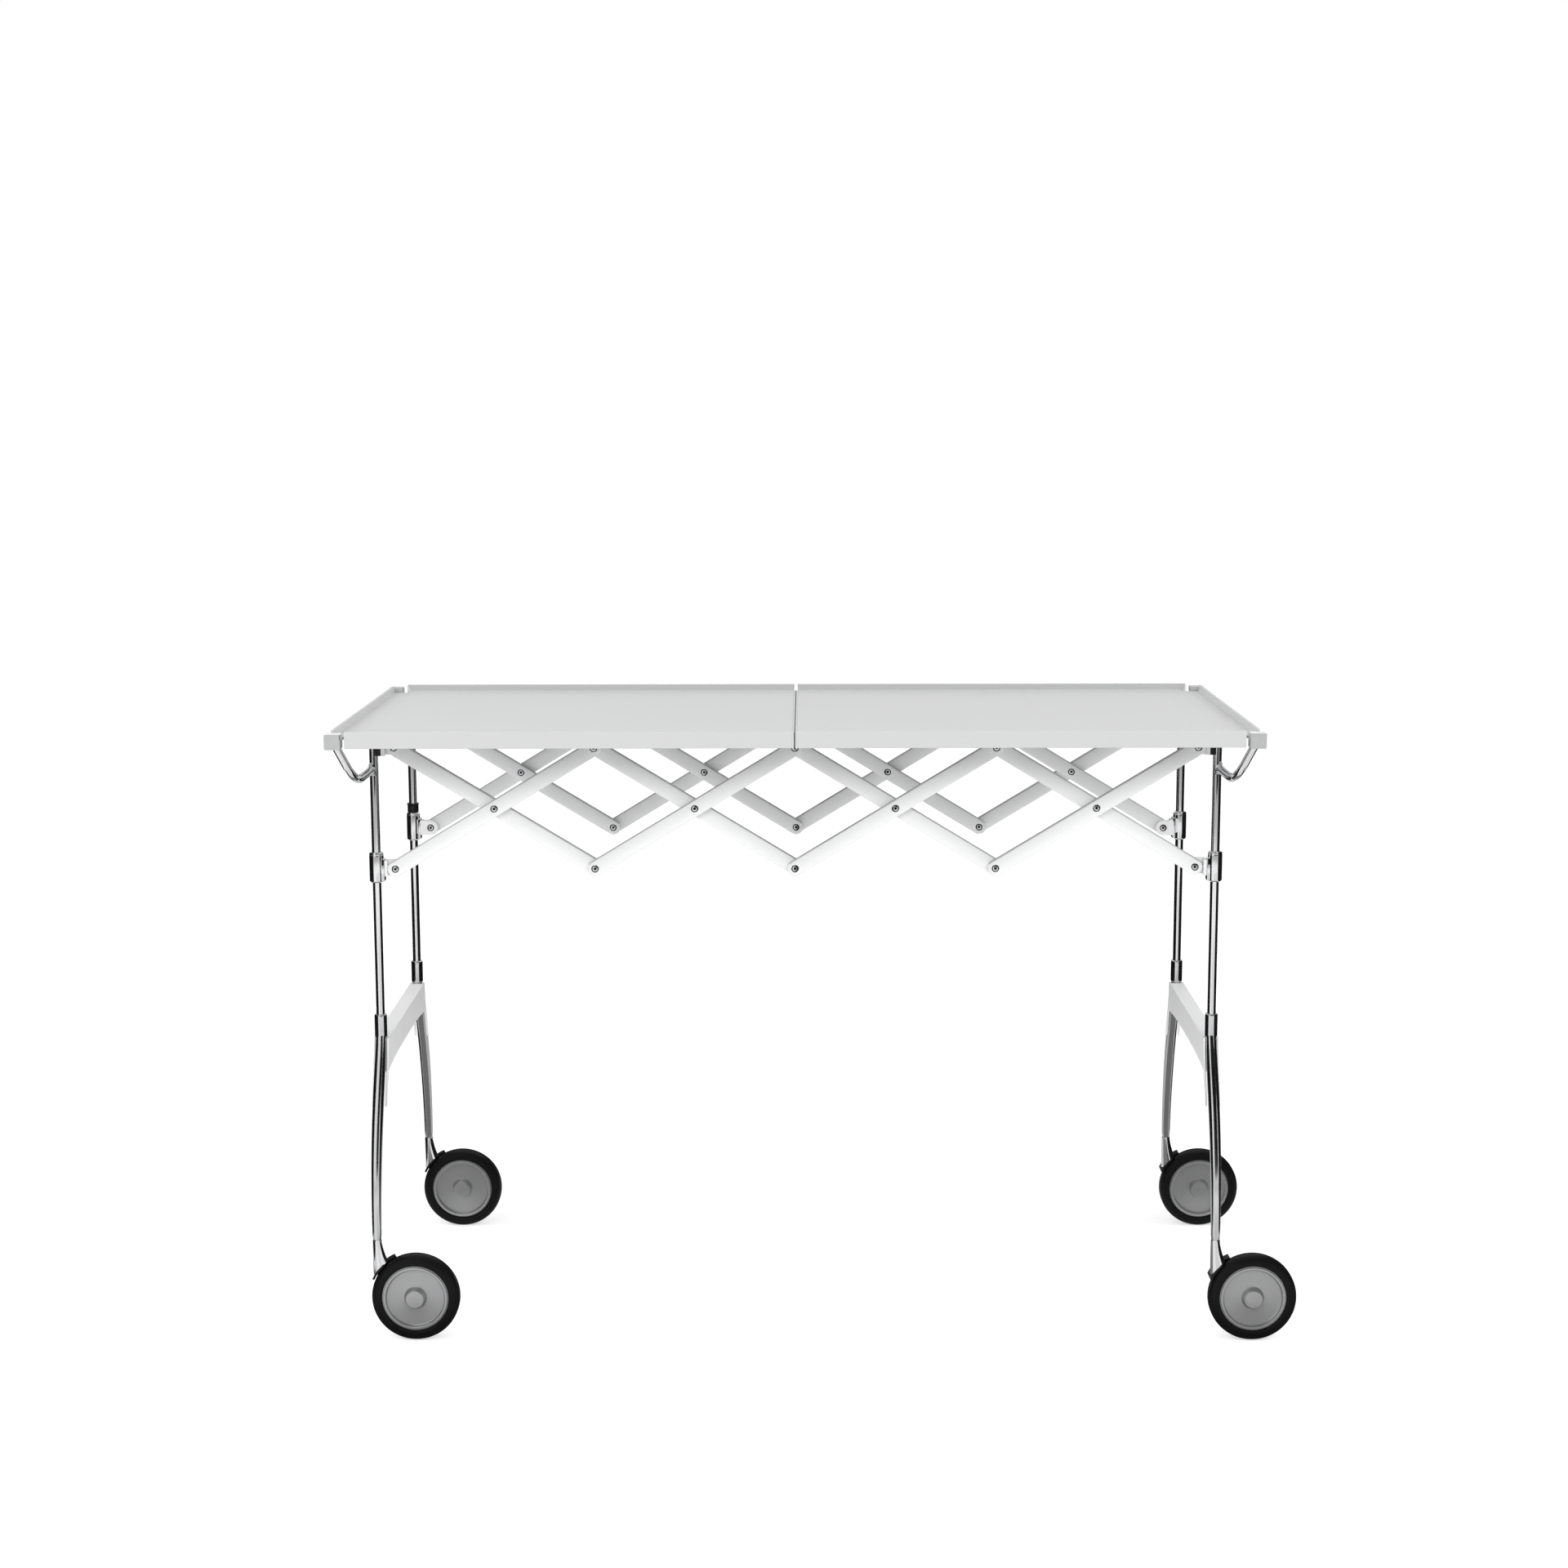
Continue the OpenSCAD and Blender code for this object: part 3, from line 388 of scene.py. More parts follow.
def placePiece(name, mesh, body, stands, sharp):
    bm = bmesh.new()
    bm.from_mesh(mesh)
    bmesh.ops.remove_doubles(bm, verts=bm.verts, dist=mergeFacts["doubles"])
    bmesh.ops.dissolve_degenerate(bm, edges=bm.edges, dist=mergeFacts["slivers"])
    bmesh.ops.recalc_face_normals(bm, faces=bm.faces)
    bm.to_mesh(mesh)
    bm.free()
    mesh.shade_smooth()
    mesh.set_sharp_from_angle(angle=math.radians(sharp))
    piece = bpy.data.objects.new(name, mesh)
    bpy.context.scene.collection.objects.link(piece)
    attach(piece, body)
    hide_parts(*stands)


def turned(profile, centre, sides=64, axis="z", ribs=0, ribDepth=0.0):
    # profile of (radius, height) turned about an axis; ribs waves deepen the widest rings
    r, h = np.array(profile, float).T
    a = np.linspace(0, 2 * np.pi, sides, endpoint=False)
    radius = r[:, None] * np.ones(sides)
    if ribs:
        wide = (r > r.max() * 0.93)[:, None]
        radius = radius - wide * ribDepth * (0.5 - 0.5 * np.cos(a * ribs))
    along = h[:, None] * np.ones(sides)
    if axis == "z":
        grid = np.stack([radius * np.cos(a), radius * np.sin(a), along], -1)
    else:
        grid = np.stack([radius * np.cos(a), along, radius * np.sin(a)], -1)
    return grid + np.array(centre, float)


def rounded(points, radius, steps=4):
    # open profile with its inner corners replaced by quadratic arcs of about this radius
    p = np.array(points, float)
    out = [p[0]]
    for before, here, after in zip(p[:-2], p[1:-1], p[2:]):
        a, b = before - here, after - here
        la, lb = np.linalg.norm(a), np.linalg.norm(b)
        ra = min(radius, la * 0.45)
        rb = min(radius, lb * 0.45)
        s, e = here + a / la * ra, here + b / lb * rb
        t = np.linspace(0, 1, steps + 1)[:, None]
        out.extend((1 - t) ** 2 * s + 2 * t * (1 - t) * here + t ** 2 * e)
    out.append(p[-1])
    return np.array(out)


def tube(path, way, normal, radii, sides=40, flat=2.0):
    # ring round each path point in the plane square to its way; flat above 2 squares the section
    a = np.linspace(0, 2 * np.pi, sides, endpoint=False)
    c, s = np.cos(a), np.sin(a)
    c = np.sign(c) * np.abs(c) ** (2 / flat)
    s = np.sign(s) * np.abs(s) ** (2 / flat)
    side = np.cross(normal, way)
    side /= np.linalg.norm(side, axis=1)[:, None]
    normal = np.broadcast_to(normal, path.shape)
    ra, rb = np.broadcast_to(np.array(radii, float).T, (len(path), 2)).T
    return (path[:, None] + ra[:, None, None] * c[None, :, None] * normal[:, None]
            + rb[:, None, None] * s[None, :, None] * side[:, None])


def capped(grid):
    # closes both ends of a tube with a point at the middle of the end rings
    first = np.broadcast_to(grid[0].mean(0), grid[0].shape)[None]
    last = np.broadcast_to(grid[-1].mean(0), grid[-1].shape)[None]
    return np.concatenate([first, grid, last])


def softBox(low, high, edge, steps=3):
    # box with rounded corners seen from above and softened top and bottom rims
    low, high = np.array(low, float), np.array(high, float)
    half, centre = (high - low) / 2, (high + low) / 2
    a = np.linspace(0, np.pi / 2, steps + 1)
    corner = []
    for sx, sy, turn in ((1, 1, 0), (-1, 1, 1), (-1, -1, 2), (1, -1, 3)):
        t = a + turn * np.pi / 2
        corner.append(np.stack([sx * (half[0] - edge) + edge * np.cos(t),
                                sy * (half[1] - edge) + edge * np.sin(t)], -1))
    ring = np.concatenate(corner)
    rims = [(1 - math.sin(t)) * edge for t in a]
    tops = [(1 - math.cos(t)) * edge for t in a]
    rows = []
    for inset, drop, sign in ([(i, d, -1) for i, d in zip(rims, tops)]
                              + [(i, d, 1) for i, d in zip(rims[::-1], tops[::-1])]):
        scale = (half[:2] - inset) / half[:2]
        rows.append(np.column_stack([ring * scale, np.full(len(ring), sign * (half[2] - drop))]))
    return capped(np.array(rows)) + centre


def cornerOf(end, side):
    return (-1 if end == "left" else 1), (-1 if side == "front" else 1)


def toCorner(grid, end, side):
    # a grid drawn at the right rear corner, about the table's middle, moved to its own corner
    sx, sy = cornerOf(end, side)
    return grid * np.array([sx, sy, 1.0]) + np.array([midX, 0, 0])


ends, sides = ("left", "right"), ("front", "rear")

# lower legs: a bowed casting whose flattened section swells half way down, in a ferrule

legFacts = {
    "x": 0.488, "rodY": 0.1425, "footY": 0.208,
    "heights": (0.355, 0.317, 0.251, 0.1201),      # of the curve's four control points
    "thin": 0.0053, "thick": 0.0065, "wide": 0.008, "swellStart": 0.1,
    "ferruleTop": 0.3735, "ferruleLow": 0.345, "ferruleR": 0.0073, "boreR": 0.00505,
    "flat": 2.5, "footShare": 0.015, "footInset": 0.0007,      # small rounding at the very foot
}


def bezierOf(a, b, c, d, t):
    return a * (1 - t) ** 3 + 3 * b * t * (1 - t) ** 2 + 3 * c * t ** 2 * (1 - t) + d * t ** 3


def legPath(f, steps):
    # cubic curve from the rod's line out to the foot; sections swell with a half sine
    t = np.linspace(0, 1, steps)
    y = bezierOf(f["rodY"], f["rodY"], f["footY"], f["footY"], t)
    z = bezierOf(*f["heights"], t)
    path = np.column_stack([np.full(steps, f["x"]), y, z])
    way = np.gradient(path, axis=0)
    way /= np.linalg.norm(way, axis=1)[:, None]
    swell = np.sin(np.pi * np.minimum(1, f["swellStart"] + (1 - f["swellStart"]) * t))
    return path, way, swell, t


def lowerLeg(end, side):
    f = legFacts
    path, way, swell, t = legPath(f, 72)
    rx = f["thin"] + (f["thick"] - f["thin"]) * swell
    ry = f["thin"] + (f["wide"] - f["thin"]) * swell
    foot = np.clip((t - 1 + f["footShare"]) / f["footShare"], 0, 1)
    rx, ry = rx - f["footInset"] * foot ** 2, ry - f["footInset"] * foot ** 2
    leg = capped(tube(path, way, np.array([1.0, 0, 0]), (rx, ry), 48, f["flat"]))
    top, low, r = f["ferruleTop"], f["ferruleLow"], f["ferruleR"]
    bore = f["boreR"]
    cup = rounded([(0.0, low + 0.003), (0.0052, low + 0.0005), (r - 0.0012, low),
                   (r, low + 0.0016), (r, top - 0.001), (r - 0.001, top), (bore, top),
                   (bore, top - 0.004), (0.0, top - 0.004)], 0.0006)
    ferrule = turned(cup, (f["x"], f["rodY"], 0), 64)
    node = f"{end}_{side}_lower_leg"
    grids = [(toCorner(grid, end, side), 0) for grid in (leg, ferrule)]
    addPiece(f"{end}{side.title()}Leg", grids, [castPolish], f"{end}_frame", [node])


for end in ends:
    for side in sides:
        lowerLeg(end, side)
print("lower legs made")

# leg rods with their bent arms

rodFacts = {
    "r": 0.005, "foot": 0.3495, "head": 0.706, "armR": 0.00465, "bendR": 0.026,
    # the arm is a tall oval where it meets the rod
    "weldAcross": 0.0024, "weldUpright": 0.0084, "weldReach": 0.007, "weldInside": 0.004,
    "root": (0.488, 0.1425, 0.6655), "knee": (0.4965, 0.2178, 0.6604),
    "tip": (0.515, 0.2262, 0.7),
    "tab": ((0.479, 0.138, 0.6803), (0.4865, 0.147, 0.7028)),
}


def armPath(f, straight=26, bend=22):
    # straight line, an arc tangent to both lines in their own plane, then a straight line
    root, knee, tip = (np.array(f[k], float) for k in ("root", "knee", "tip"))
    u = (knee - root) / np.linalg.norm(knee - root)
    v = (tip - knee) / np.linalg.norm(tip - knee)
    turn = math.acos(float(u @ v))
    back = f["bendR"] * math.tan(turn / 2)
    normal = np.cross(v, u)
    normal /= np.linalg.norm(normal)
    spoke = np.cross(normal, u)
    centre = knee - u * back - spoke * f["bendR"]
    a = np.linspace(0, turn, bend)[:, None]
    arc = centre + f["bendR"] * (spoke * np.cos(a) + u * np.sin(a))
    arcWay = u * np.cos(a) - spoke * np.sin(a)
    k = np.linspace(0, 1, straight)[:, None]
    first = root + (knee - u * back - root) * k
    last = knee + v * back + (tip - knee - v * back) * k[::3]
    path = np.concatenate([first, arc[1:-1], last])
    way = np.concatenate([np.broadcast_to(u, first.shape), arcWay[1:-1],
                          np.broadcast_to(v, last.shape)])
    return path, way, normal, v


def legRod(end, side):
    f = rodFacts
    r, foot, head = f["r"], f["foot"], f["head"]
    bar = turned(rounded([(0, foot), (r, foot), (r, head), (0, head)], 0.0004),
                 (legFacts["x"], legFacts["rodY"], 0), 56)
    path, way, normal, v = armPath(f)
    run = np.linalg.norm(path - path[0], axis=1)
    # the weld makes the arm a tall oval at the rod, fading with an exponential of the distance
    fade = np.exp(-(np.maximum(run - f["weldInside"], 0) / f["weldReach"]) ** 1.5)
    across = f["armR"] + (f["weldAcross"] - f["armR"]) * fade
    upright = f["armR"] + (f["weldUpright"] - f["armR"]) * fade
    arm = tube(path, way, normal, (across, upright), 40)
    level = arm[-1] + v * ((f["tip"][2] - arm[-1][:, 2]) / v[2])[:, None]
    arm = capped(np.concatenate([arm[:-1], level[None]]))
    tab = softBox(*f["tab"], 0.0008)
    name = f"{end}{side.title()}Rod"
    addPiece(name, [(toCorner(bar, end, side), 0), (toCorner(arm, end, side), 0),
                    (toCorner(tab, end, side), 1)],
             [chromeRod, blackMould], f"{end}_frame", [f"{end}_{side}_leg_rod"])


for end in ends:
    for side in sides:
        legRod(end, side)
print("rods and arms made")

# link bars: flat bars with round ends, softened edges and three counterbored holes

barFacts = {
    "cell": 0.2325, "low": 0.548, "high": 0.6895, "wide": 0.018, "thick": 0.008,
    "rising": 0.1427, "falling": 0.1343,           # nearer face of each layer, from the middle
    "sinkR": 0.0044, "sinkT": 0.0022, "shankR": 0.0025, "edge": 0.0009,
    "acrossSteps": 12, "alongSteps": 16,
}
barFacts["length"] = math.hypot(barFacts["cell"], barFacts["high"] - barFacts["low"])


def barRing(f, which, inset, reach=None):
    # ring round pivot -1, 0 or 1 of a bar, in (along, across): a circle of radius reach, or the
    # outline of the pivot's third of the bar, drawn in by inset
    half, w = f["length"] / 4, f["wide"] / 2
    edge = np.linspace(-w, w, f["acrossSteps"] + 1)
    flat = np.linspace(-half, half, f["alongSteps"] + 1)
    atEnd, atSide = np.full(f["acrossSteps"], half), np.full(f["alongSteps"], w)
    box = np.concatenate([
        np.column_stack([atEnd, edge[:-1]]), np.column_stack([flat[:0:-1], atSide]),
        np.column_stack([-atEnd, edge[:0:-1]]), np.column_stack([flat[:-1], -atSide])])
    shape = box * np.array([1, (w - inset) / w])
    if which:
        out = box[:, 0] * which >= 0
        # the outward side of an end pivot is a half circle instead
        grow = np.where(np.abs(box[:, 0]) >= half - 1e-9, np.abs(box[:, 1]) / w,
                        2 - np.abs(box[:, 0]) / half)
        swing = np.sign(box[:, 1]) * grow * np.pi / 4
        round_ = np.column_stack([which * np.cos(swing), np.sin(swing)]) * (w - inset)
        shape = np.where(out[:, None], round_, shape)
    if reach is not None:
        a = np.arctan2(shape[:, 1], shape[:, 0])
        shape = np.column_stack([np.cos(a), np.sin(a)]) * reach
    return shape


def linkBar(i, side, kind):
    f = barFacts
    rising = kind == "rising"
    y0 = f[kind]
    y1 = y0 + f["thick"]
    e = f["edge"]
    bends = [(e * (1 - math.sin(t)), e * (1 - math.cos(t))) for t in np.linspace(0, np.pi / 2, 5)]
    grids = []
    for which in (-1, 0, 1):
        outward = rising or (i == 1 and which == -1) or (i == 4 and which == 1)
        sinkHigh, sinkLow = (f["sinkT"], 0) if outward else (0, f["sinkT"])
        rows = []

        def add(y, inset=0.0, reach=None):
            rows.append((y, barRing(f, which, inset, reach)))

        for top, sink, sign in ((y1, sinkHigh, 1), (y0, sinkLow, -1)):
            part = [(top - sign * sink, 0, f["shankR"])]
            if sink:
                part += [(top - sign * sink, 0, f["sinkR"]), (top - sign * 0.0002, 0, f["sinkR"]),
                         (top, 0, f["sinkR"] + 0.0002)]
            part += [(top - sign * d, inset, None) for inset, d in bends]
            for y, inset, reach in (part if sign > 0 else part[::-1]):
                add(y, inset, reach)
        first = rows[0]
        rows.append(first)                                # the shank hole's wall closes the loop
        shift = which * f["length"] / 2
        grids.append(np.array([np.column_stack([r[:, 0] + shift, np.full(len(r), y), r[:, 1]])
                               for y, r in rows]))
    lean = math.atan2(f["high"] - f["low"], f["cell"]) * (1 if rising else -1)
    along = np.array([math.cos(lean), 0, math.sin(lean)])
    across = np.array([-math.sin(lean), 0, math.cos(lean)])
    middle = np.array([midX + (i - 2.5) * f["cell"], 0, (f["high"] + f["low"]) / 2])
    sy = -1 if side == "front" else 1
    placed = [(middle + g[..., :1] * along + g[..., 2:] * across
               + g[..., 1:2] * np.array([0, sy, 0]), 0) for g in grids]
    seam = f["length"] / 4

    def inner(points, quads):
        # cells that lie on the lines where the thirds of the bar meet
        u = np.abs(np.abs((points - middle) @ along) - seam) < 1e-7
        return u[quads].all(1)

    def upward(points):
        # 0 at the bar's lower edge, 1 at its upper edge; it places barWhite's painted shade
        return 0.5 + (points - middle) @ across / f["wide"]

    addPiece(f"{side}{kind.title()}Bar{i}", placed, [barWhite], f"{kind}_{i}",
             [f"{side}_{kind}_bar_{i}"], 30, inner, upward)


for side in sides:
    for i in range(1, 5):
        linkBar(i, side, "rising")
        linkBar(i, side, "falling")
print("link bars made")

# pivot screws: washer disc, round head with a softened rim, hexagon socket; washer and socket
# carry a painted shade of the recess

screwFacts = {"headR": 0.0032, "headT": 0.0018, "washerR": 0.0043, "washerT": 0.0003,
              "hexR": 0.0015, "hexT": 0.0009, "shankR": 0.0025, "sides": 36,
              "stack": 0.0164}      # from one bar's outer face to the other's


def screwGrids(x, z, outer, inner, sy):
    f = screwFacts
    a = np.linspace(0, 2 * np.pi, f["sides"], endpoint=False)
    step = np.pi / 3
    hexR = f["hexR"] / np.cos((a + step / 2) % step - step / 2)      # distance to a hexagon's side
    ones = np.ones(f["sides"])
    sink = barFacts["sinkT"]
    out = []
    for base, way in ((outer - sink, 1), (inner + sink, -1)):
        top = base + way * f["headT"]
        low = top - way * f["hexT"]
        lip = base + way * f["washerT"]

        def ring(radius, y):
            return np.stack([x + radius * np.cos(a), sy * y * ones, z + radius * np.sin(a)], -1)

        r = f["headR"]
        rim = ring(hexR, top - way * 0.0001)
        # finish 1, the painted recess shade, goes on the socket and on the washer disc
        out.append((np.array([ring(0 * ones, low), ring(hexR, low), rim]), 1))
        out.append((np.array([rim, ring(hexR + 0.0001, top), ring((r - 0.0005) * ones, top),
                              ring((r - 0.0001) * ones, top - way * 0.0002),
                              ring(r * ones, top - way * 0.0005), ring(r * ones, lip)]), 0))
        out.append((np.array([ring(r * ones, lip), ring(f["washerR"] * ones, lip),
                              ring(f["washerR"] * ones, base), ring(0 * ones, base)]), 1))
    core = turned([(0, 0), (f["shankR"], 0), (f["shankR"], 1), (0, 1)], (0, 0, 0), 24, "y")
    core = core * np.array([1, sy * (outer - inner - 2 * sink), 1])
    out.append((core + np.array([x, sy * (inner + sink), z]), 0))
    return out


def screwSet(node, body, spots, outer):
    grids = []
    for sy in (-1, 1):
        for x, z in spots:
            grids += screwGrids(midX + x, z, outer, outer - screwFacts["stack"], sy)
    addPiece(node.title().replace("_", ""), grids, [screwSteel, recessPaintedShade], body, [node],
             30)


lowZ, highZ, cell = barFacts["low"], barFacts["high"], barFacts["cell"]
for i in range(1, 5):
    x = (i - 2.5) * cell
    screwSet(f"rising_bar_{i}_screws", f"rising_{i}",
             [(x - cell / 2, lowZ), (x, (lowZ + highZ) / 2), (x + cell / 2, highZ)],
             barFacts["rising"] + barFacts["thick"])
for i, x, z in ((1, -2 * cell, highZ), (4, 2 * cell, lowZ)):
    screwSet(f"falling_bar_{i}_screws", f"falling_{i}", [(x, z)],
             barFacts["falling"] + barFacts["thick"])
print("screws made")

# sleeves and the knurled stop collar

sleeveFacts = {"r": 0.00835, "top": 0.567, "low": 0.5315, "bevel": 0.0016, "boreR": 0.00525,
               "cheek": ((0.478, 0.1369, 0.5331), (0.488, 0.1481, 0.5591))}


def sleevePair(end):
    f = sleeveFacts
    grids = []
    b = f["bevel"]
    ring = rounded([(f["boreR"], f["low"]), (f["r"] - b, f["low"]), (f["r"], f["low"] + b),
                    (f["r"], f["top"] - b - 0.0022), (f["r"] - 0.0003, f["top"] - b - 0.0019),
                    (f["r"] - 0.0003, f["top"] - b - 0.0013), (f["r"], f["top"] - b - 0.001),
                    (f["r"], f["top"] - b), (f["r"] - b, f["top"]), (f["boreR"], f["top"]),
                    (f["boreR"], f["low"])], 0.0003, 2)
    for side in sides:
        shell = turned(ring, (legFacts["x"], legFacts["rodY"], 0), 64)
        grids.append((toCorner(shell, end, side), 0))
        grids.append((toCorner(softBox(*f["cheek"], 0.0009), end, side), 0))
    addPiece(f"{end}SleevePair", grids, [chromeRod], f"{end}_slider", [f"{end}_sleeves"])


for end in ends:
    sleevePair(end)

collarFacts = {"low": 0.5673, "tall": 0.0115, "r": 0.007, "lip": 0.0008, "boreR": 0.00505,
               "ribs": 40, "ribDepth": 0.0005}


def stopCollar(f):
    # ribbed ring with a groove and a lip near its top
    low, top, r, bore = f["low"], f["low"] + f["tall"], f["r"], f["boreR"]
    ring = [(bore, low), (r - 0.0006, low), (r, low + 0.0006), (r, top - 0.0024),
            (r - 0.0005, top - 0.0022), (r, top - 0.0018), (r + f["lip"], top - 0.001),
            (r + 0.0002, top), (bore, top), (bore, low)]
    collar = turned(ring, (legFacts["x"], legFacts["rodY"], 0), 160,
                    ribs=f["ribs"], ribDepth=f["ribDepth"])
    addPiece("stopCollar", [(toCorner(collar, "left", "rear"), 0)], [blackMould], "left_frame",
             ["stop_collar"], 50)


stopCollar(collarFacts)
print("sleeves and collar made")

# casters

casterFacts = {
    "trail": 0.044, "axleZ": 0.0513, "footY": 0.208,
    "neckTop": 0.1196, "neckR": 0.0053, "flare": 0.0065, "swell": 0.0015,
    "footLow": 0.0277, "stemR": 0.003, "stemLong": 0.02,
    "crown": (-0.00953, 0.0055, 0.044),     # the hood's round from the axle: along, up, radius
}
wheelFacts = {
    "tyre": [(0.039, 0.0), (0.039, -0.0098), (0.0394, -0.0106), (0.0402, -0.011), (0.0433, -0.011),
             (0.0438, -0.0107), (0.0443, -0.0108)],
    "shoulder": (0.0433, 0.003, 0.008),     # centre radius, centre offset, radius
    "hub": [(0.0, -0.0143), (0.0101, -0.0143), (0.0107, -0.0137), (0.0122, -0.0072),
            (0.0132, -0.0061), (0.0332, -0.006), (0.0342, -0.0066), (0.0344, -0.0100),
            (0.0349, -0.0105), (0.0373, -0.0105), (0.0378, -0.0100), (0.0378, -0.009),
            (0.0388, -0.009), (0.0388, 0.009), (0.0343, 0.009), (0.0343, -0.0018),
            (0.012, -0.0018), (0.012, 0.0112), (0.00405, 0.0112), (0.00405, -0.003),
            (0.0, -0.003)],
}


def atAxle(end, side):
    sx, sy = cornerOf(end, side)
    return np.array([midX + sx * legFacts["x"] + casterFacts["trail"], sy * casterFacts["footY"],
                     casterFacts["axleZ"]])


def casterNeck(end, side):
    # rings widen towards the wheel; each line of the skin runs down to the crown's circle
    f = casterFacts
    u = np.linspace(0, 1, 28)
    a = np.linspace(0, 2 * np.pi, 48, endpoint=False)
    grow = f["flare"] / 2 * u ** 1.6
    x = grow[:, None] + (f["neckR"] + grow[:, None]) * np.cos(a) - f["trail"]
    y = (f["neckR"] + f["swell"] * u)[:, None] * np.sin(a)
    cx, cz, cr = f["crown"]
    foot = np.maximum(cz + np.sqrt((cr - 0.0006) ** 2 - (x[-1] - cx) ** 2), f["footLow"])
    top = f["neckTop"] - f["axleZ"]
    z = top + (foot[None] - top) * u[:, None]
    skin = np.stack([x, y, z], -1)
    lid = skin[:1]
    lid = np.stack([-f["trail"] + (lid[..., 0] + f["trail"]) * 0.9, lid[..., 1] * 0.9,
                    lid[..., 2]], -1)
    skin[0, :, 2] -= 0.0005
    skin = capped(np.concatenate([lid, skin]))
    r, foot, head = f["stemR"], top - 0.001, top + f["stemLong"]
    stem = turned([(0, foot), (r, foot), (r, head), (0, head)], (-f["trail"], 0, 0), 32)
    way = np.array([1, cornerOf(end, side)[1], 1])
    grids = [(grid * way + atAxle(end, side), 0) for grid in (skin, stem)]
    addPiece(f"{end}{side.title()}Neck", grids, [chromeRod], f"{end}_{side}_swivel",
             [f"{end}_{side}_caster_neck"])


def casterWheel(end, side):
    r, off, s = wheelFacts["shoulder"]
    t = np.linspace(math.radians(6), math.radians(90), 12)
    arc = np.column_stack([r + s * np.sin(t), -off - s * np.cos(t)])
    half = np.concatenate([wheelFacts["tyre"], arc])
    whole = np.concatenate([half, half[::-1] * np.array([1, -1])])
    # every hub shows its plain face to the front
    tyre = turned(whole, (0, 0, 0), 128, "y") + atAxle(end, side)
    hub = turned(rounded(wheelFacts["hub"], 0.0004, 3), (0, 0, 0), 96, "y") + atAxle(end, side)
    name, node = f"{end}{side.title()}", f"{end}_{side}"
    addPiece(name + "Tyre", [(tyre, 0)], [tyreBlack], node + "_wheel", [node + "_tyre"], 50)
    addPiece(name + "Hub", [(hub, 0)], [hubGrey], node + "_wheel", [node + "_wheel_hub"],
             32)


for end in ends:
    for side in sides:
        casterNeck(end, side)
        casterWheel(end, side)
print("casters made")

# pieces whose CAD shape is right: a merged copy with small round edges

trayFacts = {"top": 0.72, "floor": 0.712, "low": 0.701, "half": 0.235, "gap": 0.0034,
             "draft": 0.0019, "slit": 0.0014, "lip": 0.0008, "strip": 0.0048}
softFacts = {
    "sharpAngle": 32, "flatAngle": 0.4, "roundSteps": 2,      # degrees
    "roundWidth": {"tray": 0.0005, "corner_blocks": 0.00012, "cross_piece": 0.0007,
                   "leg_heads": 0.0004, "sleeve_lugs": 0.0005, "caster_arm": 0.0005},
}


def softCopy(end, part, body, finish, second=None, split=False):
    # second is a further finish with the rule that picks its faces by middle and normal
    node = f"{end}_{part}"
    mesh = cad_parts[node].data.copy()
    mesh.materials.clear()
    mesh.materials.append(finish)
    if second is not None:
        mesh.materials.append(second[0])
    if "custom_normal" in mesh.attributes:
        mesh.attributes.remove(mesh.attributes["custom_normal"])
    bm = bmesh.new()
    bm.from_mesh(mesh)
    bmesh.ops.remove_doubles(bm, verts=bm.verts, dist=mergeFacts["cadDoubles"])
    bmesh.ops.dissolve_limit(bm, angle_limit=math.radians(softFacts["flatAngle"]),
                             verts=bm.verts, edges=bm.edges)
    bm.normal_update()
    if second is not None or split:
        bmesh.ops.triangulate(bm, faces=[face for face in bm.faces if len(face.verts) > 4])
    for face in bm.faces:
        picked = second is not None and second[1](face.calc_center_median(), face.normal)
        face.material_index = int(picked)
    bm.to_mesh(mesh)
    bm.free()
    mesh.shade_smooth()
    words = node.split("_")
    piece = bpy.data.objects.new(words[0] + "".join(w.title() for w in words[1:]) + "Soft", mesh)
    bpy.context.scene.collection.objects.link(piece)
    round_ = piece.modifiers.new("roundEdges", "BEVEL")
    round_.width, round_.segments = softFacts["roundWidth"][part], softFacts["roundSteps"]
    round_.limit_method, round_.angle_limit = "ANGLE", math.radians(softFacts["sharpAngle"])
    round_.harden_normals, round_.use_clamp_overlap = True, False
    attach(piece, body)
    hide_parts(node)


def paintedShadeWall(middle, normal):
    # the rim's inner walls along the table, which get the tray's painted shade
    return middle.z > trayFacts["floor"] and middle.y * normal.y < -0.1 and abs(middle.y) > 0.2


def paintedLightTop(middle, normal):
    # the front blocks' upper faces, which get the painted light
    return normal.z > 0.8 and middle.y < 0


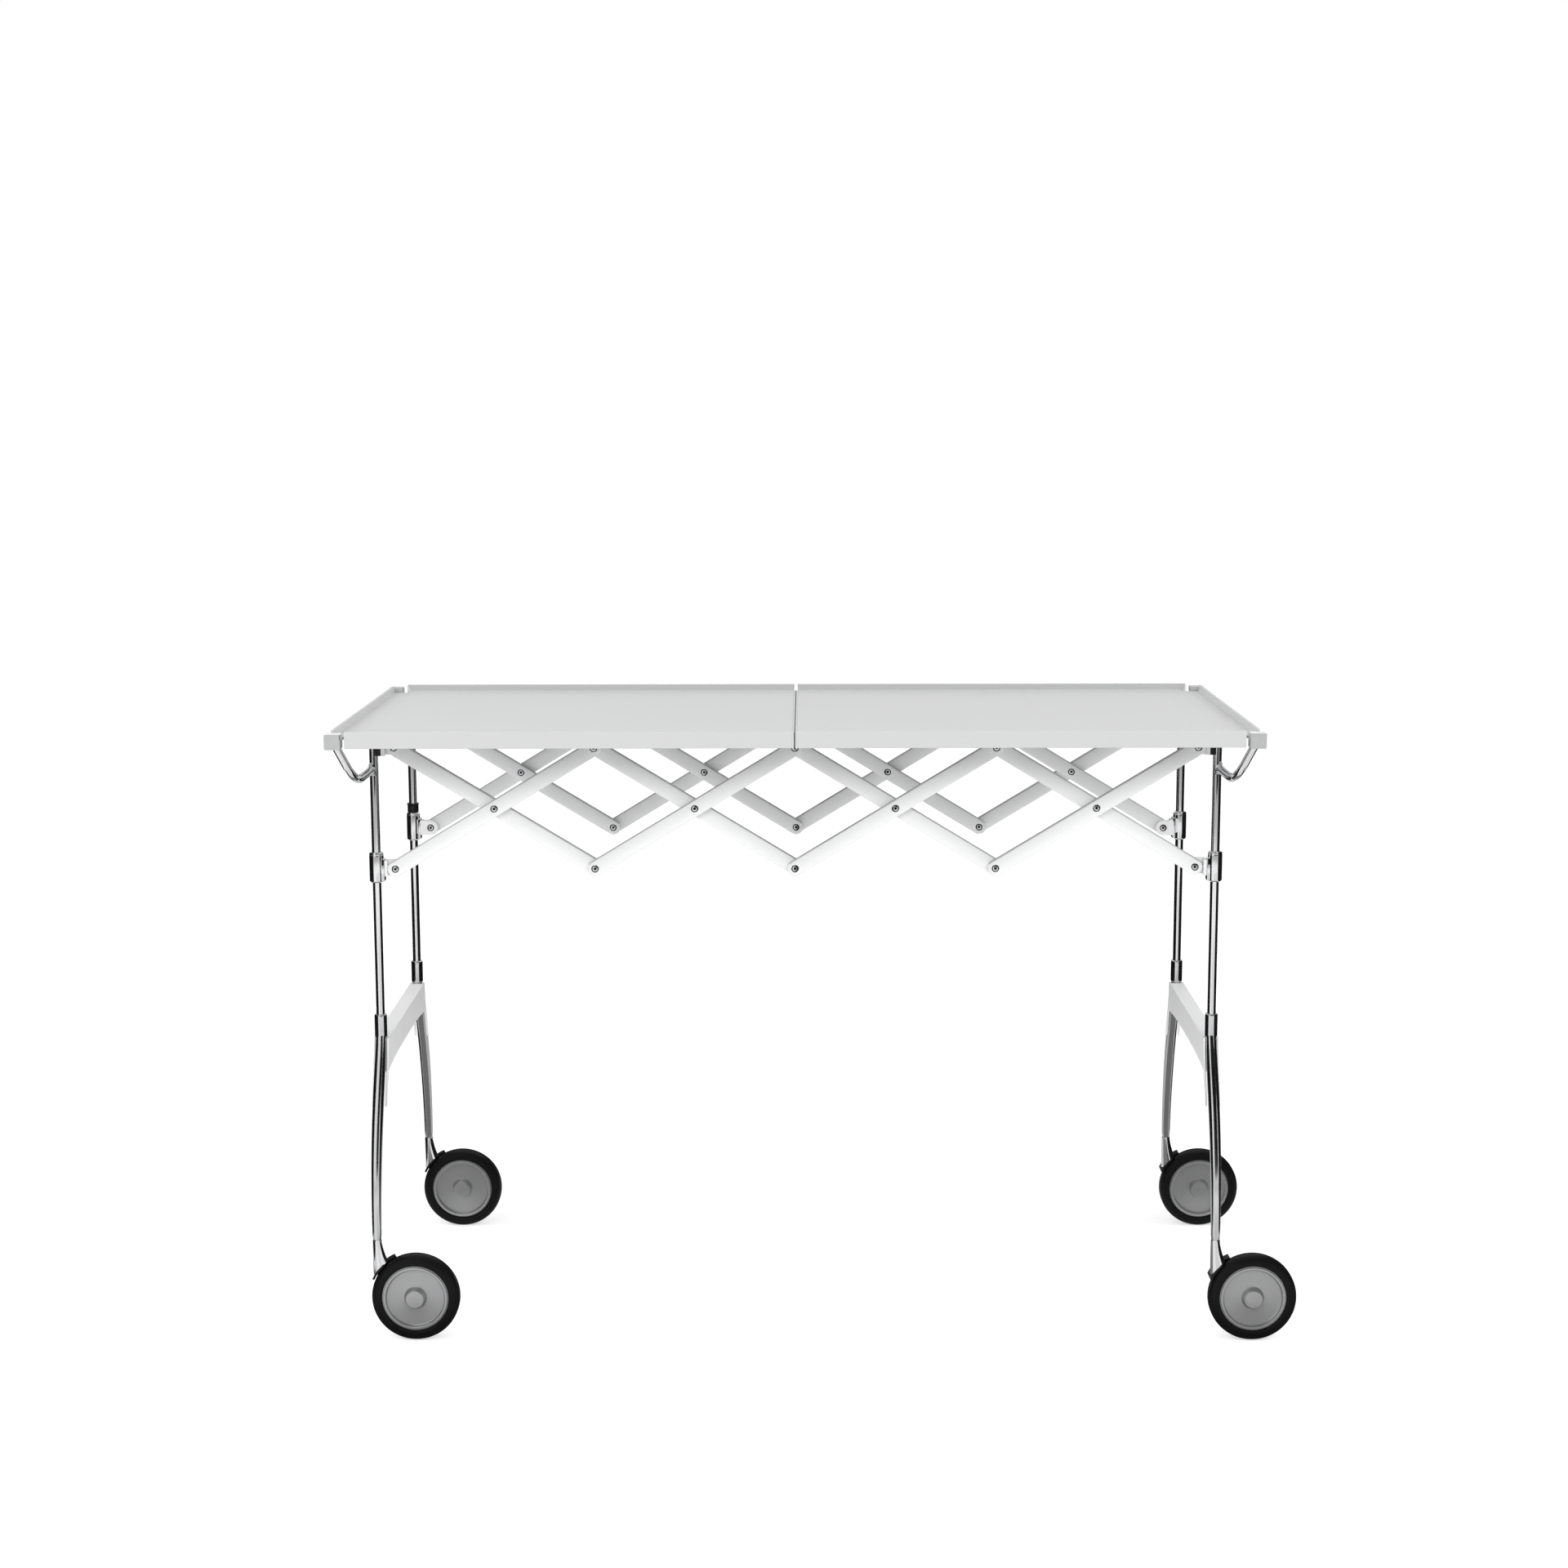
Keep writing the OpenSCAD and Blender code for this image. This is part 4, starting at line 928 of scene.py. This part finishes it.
for end in ends:
    softCopy(end, "tray", f"{end}_tray_half", trayGrey,
             second=(trayPaintedShade, paintedShadeWall))
    softCopy(end, "corner_blocks", f"{end}_frame", blockSatin,
             second=(blockPaintedLight, paintedLightTop))
    softCopy(end, "cross_piece", f"{end}_frame", mouldWhite, split=True)
    softCopy(end, "leg_heads", f"{end}_frame", mouldWhite)
    softCopy(end, "sleeve_lugs", f"{end}_slider", mouldWhite)
    for side in sides:
        softCopy(f"{end}_{side}", "caster_arm", f"{end}_{side}_swivel", blackMould)
print("soft-edged copies made")

# seam: soft lips in the trays' grey over a black strip


def prism(outline, y0, y1):
    # outline of (along, height) points carried straight from y0 to y1
    ring = np.array(outline, float)
    rows = [np.column_stack([ring[:, 0], np.full(len(ring), y), ring[:, 1]]) for y in (y0, y1)]
    return capped(np.array(rows))


def seamLips(end):
    f = trayFacts
    sx = -1 if end == "left" else 1
    top, floor, low, half = f["top"], f["floor"], f["low"], f["half"]

    def face(z):
        # the leaning seam face
        return f["gap"] / 2 + f["draft"] * (top - z) / (top - low)

    g, t = f["slit"] / 2, f["lip"]
    grids = [prism([(g, floor - t), (g, floor), (face(floor), floor),
                    (face(floor - t), floor - t)], -half + 0.003, half - 0.003),
             prism([(g, low), (g, top), (face(top), top), (face(low), low)], -half, -half + t),
             prism([(g, low), (g, floor), (face(floor), floor), (face(low), low)], half - t, half)]
    grids = [(grid * np.array([sx, 1, 1]) + np.array([midX, 0, 0]), 0) for grid in grids]
    addPiece(f"{end}SeamLip", grids, [trayGrey], f"{end}_tray_half", [])


def seamStrip():
    f = trayFacts
    half, w, t = f["half"], f["strip"] / 2, f["lip"]
    floor, low = f["floor"] - t - 0.0002, f["low"] + 0.0005
    flat = [(-w, floor - 0.0015), (-w, floor), (w, floor), (w, floor - 0.0015)]
    tall = [(-0.0016, low), (-0.0016, f["top"] - 0.001), (0.0016, f["top"] - 0.001), (0.0016, low)]
    short = [(-w, low), (-w, floor), (w, floor), (w, low)]
    grids = [prism(flat, -half + 0.0032, half - 0.0032),
             prism(tall, -half + t + 0.0002, -half + 0.0026),
             prism(short, half - 0.0026, half - t - 0.0002)]
    addPiece("seamStrip", [(grid + np.array([midX, 0, 0]), 0) for grid in grids], [blackMould],
             "left_tray_half", [])


for end in ends:
    seamLips(end)
seamStrip()
print("seam made")
